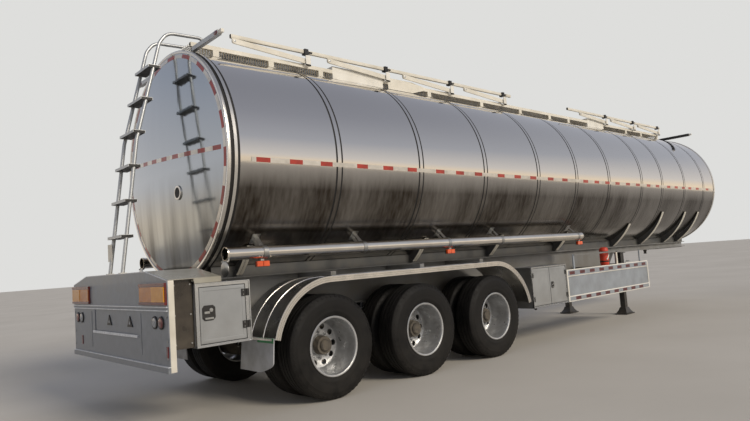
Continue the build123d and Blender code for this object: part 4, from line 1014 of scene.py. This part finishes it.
for n in range(6):
    z = 1.74 + 0.345 * n
    (a0, z0), (a1, z1) = ladder_route[0:2] if z < ladder_route[1][1] else ladder_route[1:3]
    middle_of_tread = a0 + (a1 - a0) * (z - z0) / (z1 - z0)
    # Pressed tread: a top with edges folded down
    section = [(-0.06, -0.014), (-0.06, 0.012), (-0.057, 0.014), (0.057, 0.014), (0.06, 0.012),
               (0.06, -0.014), (0.057, -0.014), (0.057, 0.010), (-0.057, 0.010), (-0.057, -0.014)]
    plate(bm, [(middle_of_tread + a, z + b) for a, b in section], sideways, -0.192, 0.178)
    block(bm, span(middle_of_tread - 0.055, middle_of_tread + 0.059), (-0.190, 0.176), (z - 0.014, z + 0.008),
          2)
    rib = bmesh.new()
    block(rib, span(middle_of_tread - 0.05, middle_of_tread - 0.046), (-0.186, 0.172),
          (z + 0.0138, z + 0.0152))
    take_in(bm, repeated(rib, galvanised, 7, step=(0.016, 0, 0)))
finish_piece("rear_ladder", bm, [galvanised, cream_paint, black_plastic], "trailer", ["ladder"],
             crease=30)

# Walkway: a grating of flat bars and rods between painted side channels, on short posts with feet on
# the tank's top. It runs from the ladder to the front, past the two spill boxes.
walk_top = 3.70
channel_inner, channel_outer, channel_low, fold = 0.394, 0.430, walk_top - 0.045, 0.004
walk_spans = [(-0.98, 0.86), (1.70, 7.02), (7.64, 10.15)]
# Folding rails: first hoop, count, pitch, and both ends of the rail
rail_groups = {"rear": (0.46, 4, 1.29, -0.52, 4.56), "front": (7.70, 3, 1.20, 6.33, 10.25)}
posts = [-0.70, -0.02, 0.68, 2.60, 3.79, 4.82, 5.71, 6.34, 8.60, 9.30, 10.11]
aluminium_bar = weathered("sawn_aluminium_bar", "A9ABAC", "939596", 1.0, (0.35, 0.5), 0.05, 0.002, 0.0001)
white_paint = weathered("white_two_pack_paint", "DEDCD4", "CBC8BE", 0.0, (0.35, 0.5), 0.2, 0.003, 0.0002,
                        coat=0.25)
screen_paint = weathered("tan_screen_paint", "746C5C", "5C5648", 0.0, (0.45, 0.65), 0.1, 0.003, 0.0002)
bm = bmesh.new()
for rear, front in walk_spans:
    bar = bmesh.new()
    block(bar, span(rear + 0.002, front - 0.002), (-0.3905, -0.3865), (walk_top - 0.030, walk_top - 0.001))
    take_in(bm, repeated(bar, aluminium_bar, 20, step=(0, 0.0409, 0)), 1)
    rod = bmesh.new()
    block(rod, span(rear + 0.02, rear + 0.026), (-0.392, 0.392), (walk_top - 0.010, walk_top - 0.003))
    take_in(bm, repeated(rod, aluminium_bar, int((front - rear - 0.04) / 0.06) + 1, step=(0.06, 0, 0)), 1)
    for side in SIDES.values():
        channel = [(channel_outer, walk_top), (channel_outer, channel_low), (channel_inner, channel_low),
                   (channel_inner, channel_low + fold), (channel_outer - fold, channel_low + fold),
                   (channel_outer - fold, walk_top - fold), (channel_inner, walk_top - fold),
                   (channel_inner, walk_top)]
        plate(bm, on_side(side, channel), crosswise, rear, front)
for side in SIDES.values():
    for ahead in posts:
        post = [(channel_inner, tank_top(channel_inner)), (channel_outer, tank_top(channel_outer)),
                (channel_outer, channel_low), (channel_inner, channel_low)]
        plate(bm, on_side(side, post), crosswise, ahead - 0.035, ahead + 0.035)
        # Foot plate that follows the tank
        pad = [(side * y, tank_top(y, gap))
               for gap, ys in ((0.002, (0.37, 0.41, 0.45)), (0.006, (0.45, 0.41, 0.37))) for y in ys]
        plate(bm, pad, crosswise, ahead - 0.05, ahead + 0.05)
    for first, count, pitch, *ends in rail_groups.values():
        for n in range(count):
            at = first + n * pitch
            # Bracket of the folded rail: a foot under the hoop and a white plate outside it
            block(bm, around(at, 0.034), both(side, 0.430, 0.490), (3.668, 3.686), 3)
            block(bm, around(at, 0.034), both(side, 0.480, 0.490), (3.668, 3.792), 3)
    # Cream plate behind the rear spill box, and the screen of bars that closes the gap to the tank
    tail = [(1.79, 3.59), (1.79, 3.74), (2.25, 3.74), (2.50, walk_top), (2.50, 3.66), (2.25, 3.59)]
    plate(bm, tail, sideways, side * channel_outer, side * 0.436)
    for rear, front in walk_spans:
        bar = bmesh.new()
        block(bar, span(rear + 0.01, rear + 0.022), both(side, 0.412, 0.416), (3.597, channel_low))
        take_in(bm, repeated(bar, screen_paint, int((front - rear - 0.04) / 0.03) + 1, step=(0.03, 0, 0)), 2)
finish_piece("walkway_deck", bm, [cream_paint, aluminium_bar, screen_paint, white_paint], "trailer",
             ["walkway"], bevel=0.001)

# Manholes: open spill boxes folded from sheet round each manhole, a turned neck with a clamp ring,
# and a pressed domed lid held by swing bolts, hinged at the front.
spill_boxes = {"rear": (0.86, 1.70, 1.28), "front": (7.02, 7.64, 7.33)}
spill_top, spill_inner = 3.745, 0.424
lid_bottom = 3.705
bm = bmesh.new()
for rear, front, centre in spill_boxes.values():
    for side in SIDES.values():
        wall = [(spill_inner, tank_top(spill_inner)), (channel_outer, tank_top(channel_outer)),
                (channel_outer, spill_top), (spill_inner, spill_top)]
        plate(bm, on_side(side, wall), crosswise, rear, front)
        block(bm, span(rear, front), both(side, 0.420, channel_outer), (spill_top - 0.006, spill_top))
        block(bm, span(centre + 0.270, centre + 0.300), both(side, 0.045, 0.055), (3.66, 3.744), 1)
    for end in (rear + 0.003, front - 0.003):
        arc = [(y, tank_top(y)) for y in (spill_inner * (n / 8 - 1) for n in range(17))]
        plate(bm, arc + [(spill_inner, spill_top), (-spill_inner, spill_top)], crosswise, end - 0.003,
              end + 0.003)
    neck = [(3.62, 0.244), (3.62, 0.250), (3.682, 0.250), (3.684, 0.262), (3.698, 0.262), (3.700, 0.258),
            (3.700, 0.244)]
    turned(bm, neck, 56, line_up(centre), closed=True, slots=[1] * 7)
finish_piece("spill_boxes", bm, [white_paint, satin_stainless], "trailer", ["manholes"],
             bevel=0.001, crease=30)
for name, (*ends, centre) in spill_boxes.items():
    bm = bmesh.new()
    lid = [(lid_bottom, 0.0), (lid_bottom, 0.255), (lid_bottom + 0.002, 0.259), (lid_bottom + 0.010, 0.260),
           (lid_bottom + 0.013, 0.255), (lid_bottom + 0.012, 0.235), (lid_bottom + 0.018, 0.215),
           (lid_bottom + 0.023, 0.16), (lid_bottom + 0.0255, 0.08), (lid_bottom + 0.026, 0.0)]
    turned(bm, lid, 56, line_up(centre))
    block(bm, span(centre + 0.235, centre + 0.295), (-0.04, 0.04), (lid_bottom + 0.004, lid_bottom + 0.026))
    # Wing nuts round the rim, clear of the hinge
    clamp = bmesh.new()
    for x, y, z in (((0.232, 0.258), (-0.010, 0.010), (lid_bottom + 0.012, lid_bottom + 0.020)),
                    ((0.240, 0.250), (-0.022, 0.022), (lid_bottom + 0.020, lid_bottom + 0.026))):
        block(clamp, x, y, z)
    take_in(bm, repeated(clamp, satin_stainless, 6, start=(x_of(centre), 0, 0),
                         turn=(0, 0, 2 * math.pi / 6.5)))
    finish_piece(f"lid_{name}", bm, [satin_stainless], f"manhole_lid_{name}", [f"manhole_lid_{name}"],
                 bevel=0.001, crease=30)

# Folding handrails: a square tube each side, carried by flat-bar hoops on cross shafts. They lie folded
# to the rear, held by black clamps; every pin has a bright head.
foot_z, head_z, hoop_reach = 3.725, 3.790, 0.95
handrail_y, handrail_z = (0.409, 0.445), (3.827, 3.873)
for name, (first, count, pitch, rear, front) in rail_groups.items():
    for n in range(count):
        foot = first + pitch * n
        head = foot - hoop_reach
        bm = bmesh.new()
        for side in SIDES.values():
            lean = math.atan2(head_z - foot_z, foot - head)
            outline = []
            for centre_a, centre_z, start in ((foot, foot_z, -90), (head, head_z, 90)):
                for step in range(9):
                    turn = math.radians(start + 180 * step / 8) - lean
                    outline.append((centre_a + 0.029 * math.cos(turn), centre_z + 0.029 * math.sin(turn)))
            plate(bm, outline, sideways, side * 0.450, side * 0.468)
            for centre_a, centre_z in ((foot, foot_z), (head, head_z)):
                turned(bm, [(side * 0.468, 0.0), (side * 0.468, 0.014), (side * 0.4715, 0.013),
                            (side * 0.473, 0.009), (side * 0.473, 0.0)], 16,
                       line_across(centre_a, centre_z), slots=[1] * 4)
        tube(bm, [(x_of(foot), -0.45, foot_z), (x_of(foot), 0.45, foot_z)], 0.0138, 12, 1)
        label = f"rail_hoop_{name}_{n + 1}"
        finish_piece(f"hoop_{name}_{n + 1}", bm, [cream_paint, galvanised], label, [label],
                     bevel=0.001)
    bm = bmesh.new()
    for side in SIDES.values():
        # Each corner of the tube is rounded with three points
        (low, high), (bottom, top), near, far = handrail_y, handrail_z, 0.0026, 0.009
        corners = [(low + far, bottom), (high - far, bottom), (high - near, bottom + near),
                   (high, bottom + far), (high, top - far), (high - near, top - near), (high - far, top),
                   (low + far, top), (low + near, top - near), (low, top - far), (low, bottom + far),
                   (low + near, bottom + near)]
        plate(bm, on_side(side, corners), crosswise, rear, front)
        for end, out in ((rear, -0.0035), (front, 0.0035)):
            plug = oblong(low, high, bottom, top, 0.003)
            plate(bm, on_side(side, plug), crosswise, end, end - out * 0.2, 1)
        for n in range(count):
            head = first + pitch * n - hoop_reach
            lug = [(head - 0.02, handrail_z[0]), (head - 0.02, head_z)]
            lug += [(head + 0.02 * math.cos(t), head_z + 0.02 * math.sin(t))
                    for t in (math.pi + math.pi * k / 8 for k in range(1, 8))]
            lug += [(head + 0.02, head_z), (head + 0.02, handrail_z[0])]
            plate(bm, lug, sideways, side * 0.433, side * 0.445)
            # Black clamp that grips the rail over the bracket, with its handle to the front
            at = first + pitch * n
            block(bm, around(at, 0.026), both(side, 0.402, 0.468), (3.812, 3.877), 1)
            block(bm, span(at + 0.026, at + 0.085), both(side, 0.446, 0.462), (3.836, 3.852), 1)
    finish_piece(f"rail_{name}", bm, [cream_paint, black_plastic], f"handrail_{name}", [f"handrail_{name}"],
                 crease=40)

# Outline lamps: square tube arms welded at both ends of the walkway, galvanised behind and black in
# front, each with a round dark red lens near its end and a slim white end piece.
bm = bmesh.new()
for ahead, inner, outer, z, half, slot, depth in ((-0.95, 0.43, 0.99, 3.622, 0.023, 0, -1),
                                                 (10.70, 0.18, 0.89, 3.652, 0.027, 1, 1)):
    for side in SIDES.values():
        root = max(inner, math.sqrt((TANK_RADIUS + 0.002) ** 2 - (z - half - TANK_AXIS) ** 2))
        arm = [(inner, z + half), (outer, z + half), (outer, z - half), (root, z - half)]
        if root > inner:
            arm.append((inner, tank_top(inner)))
        plate(bm, on_side(side, arm), crosswise, ahead - half, ahead + half, slot)
        block(bm, around(ahead, 0.017), both(side, outer, outer + 0.055), (z - 0.017, z + 0.017), 3)
        turned(bm, [(ahead + depth * half, 0.022), (ahead + depth * (half + 0.004), 0.022),
                    (ahead + depth * (half + 0.007), 0.016), (ahead + depth * (half + 0.008), 0.0)], 24,
               lambda a, u, v: (x_of(a), side * (outer - 0.045) + 1.6 * u, z + v), slots=[2] * 3)
finish_piece("outline_lamps", bm, [galvanised, black_plastic, red_lens, white_paint], "trailer",
             ["outline_lamp_arms"], bevel=0.0015, crease=40)

# Hose tubes: long thin stainless tubes that carry the delivery hoses, in strap arms on the tank's
# sides, with a flat cap hinged under the rear end. The caps hang open.
hose_out, hose_z = 1.0, 1.495
hose_arms = [-0.61, 0.66, 2.07, 3.17, 5.20]
bright_tube = weathered("bright_rolled_stainless", "EFE9DF", "DFD8CC", 1.0, (0.10, 0.2), 0.3, 0.002, 0.00005,
                        dust=0.1)
bm = bmesh.new()
for side in SIDES.values():
    on_tube = line_along(side * hose_out, hose_z)
    tube_wall = [(-1.02, 0.0600), (-1.02, 0.0630), (-1.012, 0.0645), (-1.0, 0.0645), (-0.995, 0.0625),
                 (5.30, 0.0625), (5.305, 0.0645), (5.325, 0.0645), (5.33, 0.061), (5.33, 0.0)]
    turned(bm, tube_wall + [(5.327, 0.0), (5.327, 0.0595), (-1.02, 0.0600)], 40, on_tube)
    out = Vector((0, side * hose_out, hose_z - TANK_AXIS)).normalized()
    along = Vector((0, out.z, -out.y))
    foot = Vector((0, 0, TANK_AXIS)) + out * (TANK_RADIUS + 0.004)
    for arm in hose_arms:
        strap(bm, arm - 0.025, arm + 0.025, 0.0630, 0.0665, on_tube)
        centre = Vector((0, side * hose_out, hose_z))
        for across in (-0.028, 0.024):
            corners = []
            for reach in (centre - out * 0.058, foot):
                for w in (across, across + 0.004):
                    for x in (-0.025, 0.025):
                        corners.append(bm.verts.new(Vector((x_of(arm) + x, 0, 0)) + reach + along * w))
            close_box(bm, corners, 1)
        pad = [bm.verts.new(Vector((x_of(arm) + x, 0, 0)) + foot + along * w - out * d)
               for d in (0.0, 0.003) for x in (-0.045, 0.045) for w in (-0.06, 0.06)]
        close_box(bm, pad, 1)
    for ear in (0.944, 1.050):
        ear_outline = [(-1.035, 1.418), (-1.035, 1.430), (-1.020, 1.434), (-1.008, 1.48), (-1.008, 1.43),
                       (-1.020, 1.418)]
        plate(bm, ear_outline, sideways, side * ear, side * (ear + 0.006), 1)
finish_piece("hose_carriers", bm, [bright_tube, satin_stainless], "trailer", ["hose_tubes"],
             crease=30)
cap_pin_z = 1.424
for side_name, side in SIDES.items():
    bm = bmesh.new()
    cap_z = 2 * cap_pin_z - hose_z
    cap_shape = [(-1.033, 0.0), (-1.033, 0.068), (-1.031, 0.073), (-1.027, 0.0745), (-1.025, 0.072),
                 (-1.025, 0.055), (-1.028, 0.052), (-1.028, 0.0)]
    turned(bm, cap_shape, 40, line_along(side * hose_out, cap_z))
    tube(bm, [(x_of(-1.029), side * 0.955, cap_pin_z), (x_of(-1.029), side * 1.045, cap_pin_z)], 0.004, 12)
    finish_piece(f"hose_cap_{side_name}_disc", bm, [satin_stainless], f"hose_cap_{side_name}",
                 [f"hose_cap_{side_name}"], crease=30)

# Side marker lamps: orange lenses on black bases, hung on stems under the hose tubes
orange_lens = lens("orange_acrylic", "E0561E", "C44312")
bm = bmesh.new()
for side in SIDES.values():
    for ahead in (-0.63, 2.11, 5.27):
        block(bm, around(ahead, 0.070), both(side, 0.98, 0.994), (1.357, 1.411), 1)
        for first, last in ((-0.069, -0.002), (0.002, 0.069)):
            block(bm, span(ahead + first, ahead + last), both(side, 0.994, 1.027), (1.358, 1.410), 0)
        block(bm, around(ahead, 0.020), both(side, 0.984, 1.012), (1.410, 1.4325), 2)
finish_piece("marker_lamps", bm, [orange_lens, black_plastic, satin_stainless], "trailer",
             ["side_marker_lamps"], bevel=0.004)

# Toolboxes: sheet steel boxes under the frame with a bright frame round each opening. The doors are
# folded trays in light grey, on black hinges, with black and chrome latches.
box_steel = weathered("galvanised_box_sheet", "8F9397", "7D8084", 0.6, (0.35, 0.5), 0.2, 0.003, 0.0002,
                      dust=0.5)
bright_frame = weathered("bright_stainless_trim", "C9CBCC", "B7B9BA", 1.0, (0.16, 0.28), 0.12, 0.002, 0.0001,
                         dust=0.15)
door_paint = weathered("light_grey_door_paint", "8E9193", "7E8285", 0.0, (0.3, 0.45), 0.25, 0.003, 0.0002,
                       dust=0.35, coat=0.2)
box_inner, box_face = 0.786, 1.236
boxes = {"rear": ((-1.445, -0.920, 0.71, 1.25), (0.040, 0.050, 0.027, 0.038)),
         "front": ((3.50, 4.40, 0.52, 1.085), (0.022, 0.022, 0.025, 0.025))}
hinge_half = 0.032
hinge_heights = {"rear": (0.86, 1.14), "front": (0.64, 0.97)}
for name, ((rear, front, bottom, top), (f_rear, f_front, f_bottom, f_top)) in boxes.items():
    bm = bmesh.new()
    for side in SIDES.values():
        wall, depth = 0.006, both(side, box_inner, box_face - 0.012)
        for x, y, z in ((span(rear, front), depth, (bottom, bottom + wall)),
                        (span(rear, front), depth, (top - wall, top)),
                        (span(rear, rear + wall), depth, (bottom + wall, top - wall)),
                        (span(front - wall, front), depth, (bottom + wall, top - wall)),
                        (span(rear, front), both(side, box_inner, box_inner + wall), (bottom, top))):
            block(bm, x, y, z)
        hole = oblong(rear + f_rear, front - f_front, bottom + f_bottom, top - f_top, -0.005)
        edge, lip = oblong(rear, front, bottom, top), oblong(rear, front, bottom, top, 0.010)
        # The frame round the opening, and a rolled lip that stands proud along its outer edge
        for inside, thickness, out in ((hole, 0.012, -0.006), (lip, 0.008, 0.003)):
            ring = pierced([[(x_of(a), z) for a, z in loop] for loop in (edge, inside)], thickness)
            upright = Matrix(((1, 0, 0, 0), (0, 0, side, side * (box_face + out)), (0, 1, 0, 0),
                              (0, 0, 0, 1)))
            take_in(bm, ring, 1, upright)
        if name == "rear":
            for z in hinge_heights["rear"]:
                block(bm, span(front - 0.034, front - 0.012), both(side, box_face - 0.001, box_face + 0.008),
                      (z - hinge_half, z + hinge_half), 2)
        else:
            tube(bm, [(x_of(3.66), side * 1.15, bottom - 0.035), (x_of(3.66), side * 1.15, bottom + 0.002)],
                 0.018, 16, 2)
    bmesh.ops.remove_doubles(bm, verts=bm.verts, dist=1e-6)
    finish_piece(f"{name}_toolboxes", bm, [box_steel, bright_frame, black_plastic], "trailer",
                 [f"{name}_boxes"], bevel=0.0015)

# Doors: rear, front, bottom, top, the hinge's place along, and the latch's place, height and half sizes
hinge_pin_y = 1.242
doors = {"rear_box_door": (-1.405, -0.970, 0.737, 1.212, -0.965, (-1.325, 0.995, 0.060, 0.064)),
         "front_box_door_a": (3.522, 3.945, 0.545, 1.06, 3.517, None),
         "front_box_door_b": (3.955, 4.378, 0.545, 1.06, 4.383, (4.01, 0.81, 0.034, 0.045))}
for name, (rear, front, bottom, top, hinge, latch) in doors.items():
    for side_name, side in SIDES.items():
        bm = bmesh.new()
        # A tray: face sheet with a pressed field, and edges folded in
        face_y = box_face - 0.001
        levels = [(0.0, box_face - 0.024), (0.0, box_face - 0.003), (0.003, face_y), (0.030, face_y),
                  (0.034, face_y - 0.003)]
        skin(bm, [[bm.verts.new((x_of(a), side * y, z)) for a, z in oblong(rear, front, bottom, top, inset)]
                  for inset, y in levels])
        toward = 1 if hinge < rear else -1
        leaf = 0.040 if name.startswith("rear") else 0.028
        for z in hinge_heights[name.split("_")[0]]:
            tube(bm, [(x_of(hinge), side * hinge_pin_y, z + end) for end in (-hinge_half, hinge_half)],
                 0.0055, 12, 1)
            ends = sorted((hinge + toward * 0.004, hinge + toward * leaf))
            block(bm, span(*ends), both(side, face_y - 0.002, face_y + 0.008),
                  (z - hinge_half, z + hinge_half), 1)
            for dz in (-0.018, 0.018):
                turned(bm, [(side * (face_y + 0.008), 0.005), (side * (face_y + 0.0105), 0.004),
                            (side * (face_y + 0.0105), 0.0)], 12,
                       line_across(hinge + toward * leaf * 0.6, z + dz), slots=[2, 2])
        if latch:
            # Black cup with cut corners, a chrome handle across it and a chrome bar at its foot
            at, height, half_wide, half_high = latch
            cut = half_wide * 0.35
            cup = [(at - half_wide + cut, height - half_high), (at + half_wide - cut, height - half_high),
                   (at + half_wide, height - half_high + cut), (at + half_wide, height + half_high - cut),
                   (at + half_wide - cut, height + half_high), (at - half_wide + cut, height + half_high),
                   (at - half_wide, height + half_high - cut), (at - half_wide, height - half_high + cut)]
            plate(bm, cup, sideways, side * (face_y - 0.004), side * (face_y + 0.006), 1)
            block(bm, span(at - half_wide * 0.72, at + half_wide * 0.1),
                  both(side, face_y + 0.006, face_y + 0.011),
                  (height - half_high * 0.1, height + half_high * 0.2), 2)
            block(bm, span(at - half_wide * 0.66, at + half_wide * 0.66),
                  both(side, face_y + 0.006, face_y + 0.013),
                  (height - half_high * 0.86, height - half_high * 0.6), 2)
            turned(bm,
                   [(side * (face_y + 0.006), half_wide * 0.3), (side * (face_y + 0.011), half_wide * 0.26),
                    (side * (face_y + 0.011), 0.0)], 20,
                   line_across(at + half_wide * 0.35, height + half_high * 0.35), slots=[2, 2])
        finish_piece(f"{name}_{side_name}_tray", bm, [door_paint, black_plastic, bright_steel],
                     f"{name}_{side_name}", [f"{name}_{side_name}"], bevel=0.0012)

# Side guards: two deep rails with a grey sheet between them, ahead of the boxes. The rails are pale grey
# with dark red dashes of tape and white end bars, on posts behind them; an open frame stands on top.
maroon_tape = weathered("maroon_reflective_tape", "571A1D", "471417", 0.0, (0.3, 0.45), 0.06, 0.002, 0.0002,
                        coat=0.3)
guard_paint = weathered("pale_blue_grey_paint", "8D959E", "7E868F", 0.0, (0.3, 0.45), 0.2, 0.003, 0.0002,
                        dust=0.3, coat=0.2)
bm = bmesh.new()
guard_rear, guard_front = 4.40, 7.11
for side in SIDES.values():
    for low, high, first, count in ((0.52, 0.605, 4.596, 8), (0.89, 0.995, 4.474, 9)):
        section = [(1.220, low), (1.2475, low), (1.249, low + 0.003), (1.249, high - 0.003), (1.2475, high),
                   (1.220, high)]
        plate(bm, on_side(side, section), crosswise, guard_rear, guard_front, 0)
        block(bm, span(guard_rear + 0.03, guard_front - 0.03), both(side, 1.2485, 1.2494),
              (low + 0.014, high - 0.014), 2)
        dash = bmesh.new()
        middle_z = (low + high) / 2
        block(dash, span(first, first + 0.15), both(side, 1.2490, 1.2499),
              (middle_z - 0.024, middle_z + 0.024))
        take_in(bm, repeated(dash, maroon_tape, count, step=(0.30, 0, 0)), 1)
    block(bm, span(guard_rear, guard_front), both(side, 1.236, 1.240), (0.605, 0.89), 2)
    for ahead in (guard_rear + 0.015, guard_front - 0.015):
        block(bm, around(ahead, 0.015), both(side, 1.238, 1.2495), (0.60, 0.895), 0)
    for ahead in (4.62, 5.845, 6.90):
        block(bm, around(ahead, 0.02), both(side, 1.200, 1.220), (0.52, 0.925), 3)
    for ahead, half, slot in ((4.65, 0.020, 2), (6.02, 0.020, 4), (6.85, 0.012, 2)):
        block(bm, around(ahead, half), both(side, 1.222, 1.238), (0.995, 1.215), slot)
    block(bm, span(4.65, 6.85), both(side, 1.222, 1.238), (1.191, 1.2145), 3)
finish_piece("guard_rails", bm, [white_paint, maroon_tape, guard_paint, chassis_paint, cream_paint],
             "trailer", ["side_guards"], bevel=0.001)

# Extinguishers: a bottle on the outrigger behind each guard, in an orange-red moulded cover with a
# rounded top, held by two dark straps, with a pale inspection band across it.
red_case = weathered("orange_red_polyethylene", "D2391B", "B92E16", 0.0, (0.3, 0.45), 0.1, 0.0015, 0.0002,
                     dust=0.2)
case_ahead, case_out = 5.845, 1.105
bm = bmesh.new()
for side in SIDES.values():
    case = [(1.285, 0.0), (1.284, 0.030), (1.277, 0.052), (1.262, 0.066), (1.24, 0.0715), (1.02, 0.0715),
            (1.00, 0.068), (0.983, 0.058), (0.976, 0.045), (0.975, 0.0)]
    turned(bm, case, 40, line_up(case_ahead, side * case_out))
    for low in (1.195, 1.04):
        strap(bm, low, low + 0.022, 0.0712, 0.0719, line_up(case_ahead, side * case_out))
    band = [(5.80, 1.085), (5.82, 1.075), (5.885, 1.150), (5.865, 1.165)]
    plate(bm, band, sideways, side * 1.150, side * 1.1775, 2)
finish_piece("extinguisher_cases", bm, [red_case, black_plastic, white_paint], "trailer", ["extinguishers"],
             crease=30)

# Floor, light and camera: a plain pale studio floor under an even sky that is brighter at the horizon
floor_mesh = bpy.data.meshes.new("floor")
ground = bmesh.new()
bmesh.ops.create_circle(ground, cap_ends=True, radius=160.0, segments=96)
ground.to_mesh(floor_mesh)
ground.free()
floor = bpy.data.objects.new("floor", floor_mesh)
bpy.context.scene.collection.objects.link(floor)
concrete = weathered("pale_studio_floor", "BEBAB2", "B6B2AA", 0.0, (0.7, 0.85), 2.5, 0.02, 0.0004)
floor_mesh.materials.append(concrete)
floor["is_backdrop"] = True

world = bpy.data.worlds.new("studio")
world.use_nodes = True
bpy.context.scene.world = world
tree = world.node_tree
toward = add_node(tree, "ShaderNodeTexCoord").outputs["Generated"]
rise = add_node(tree, "ShaderNodeSeparateXYZ", Vector=toward).outputs[2]
sky = add_node(tree, "ShaderNodeValToRGB", Fac=add_node(tree, "ShaderNodeMapRange", Value=rise, From_Min=-0.1,
                                                        From_Max=1.0, To_Min=0.0, To_Max=1.0).outputs[0])
sky.color_ramp.elements[0].position, sky.color_ramp.elements[0].color = 0.08, linear("FFF0DA")
sky.color_ramp.elements[1].position, sky.color_ramp.elements[1].color = 0.95, linear("8B8F9C")
for position, code in ((0.13, "FFEDD4"), (0.20, "E2DEDC"), (0.42, "B3B7C2"), (0.70, "9A9EAB")):
    stop = sky.color_ramp.elements.new(position)
    stop.color = linear(code)
backdrop = tree.nodes["Background"]
seen = add_node(tree, "ShaderNodeLightPath").outputs["Is Camera Ray"]
tree.links.new(add_node(tree, "ShaderNodeMix", {"data_type": "RGBA"}, _0=seen, _6=sky.outputs[0],
                        _7=linear("DEDEDC")).outputs[2], backdrop.inputs["Color"])
backdrop.inputs["Strength"].default_value = 1.0

sun = bpy.data.objects.new("soft_key", bpy.data.lights.new("soft_key", "SUN"))
sun.data.energy = 2.3
sun.data.color = (1.0, 0.90, 0.76)
sun.data.angle = math.radians(20)
sun.rotation_euler = (math.radians(60), 0, math.radians(8))
bpy.context.scene.collection.objects.link(sun)

camera = bpy.data.objects.new("camera", bpy.data.cameras.new("camera"))
bpy.context.scene.collection.objects.link(camera)
camera.data.lens, camera.data.sensor_width = 29.155, 36.0
camera_place = (-8.4045, -6.09, 1.343)
yaw, pitch, roll = 0.738, 0.081, -0.071
forward = Vector((math.sin(yaw) * math.cos(pitch), math.cos(yaw) * math.cos(pitch), math.sin(pitch)))
level_right = Vector((math.cos(yaw), -math.sin(yaw), 0))
level_up = level_right.cross(forward)
right = math.cos(roll) * level_right + math.sin(roll) * level_up
upward = -math.sin(roll) * level_right + math.cos(roll) * level_up
camera.matrix_world = Matrix.Translation(camera_place) @ Matrix((right, upward,
                                                                 -forward)).transposed().to_4x4()
bpy.context.scene.camera = camera
bpy.context.scene.view_settings.view_transform = "Standard"

low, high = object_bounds()
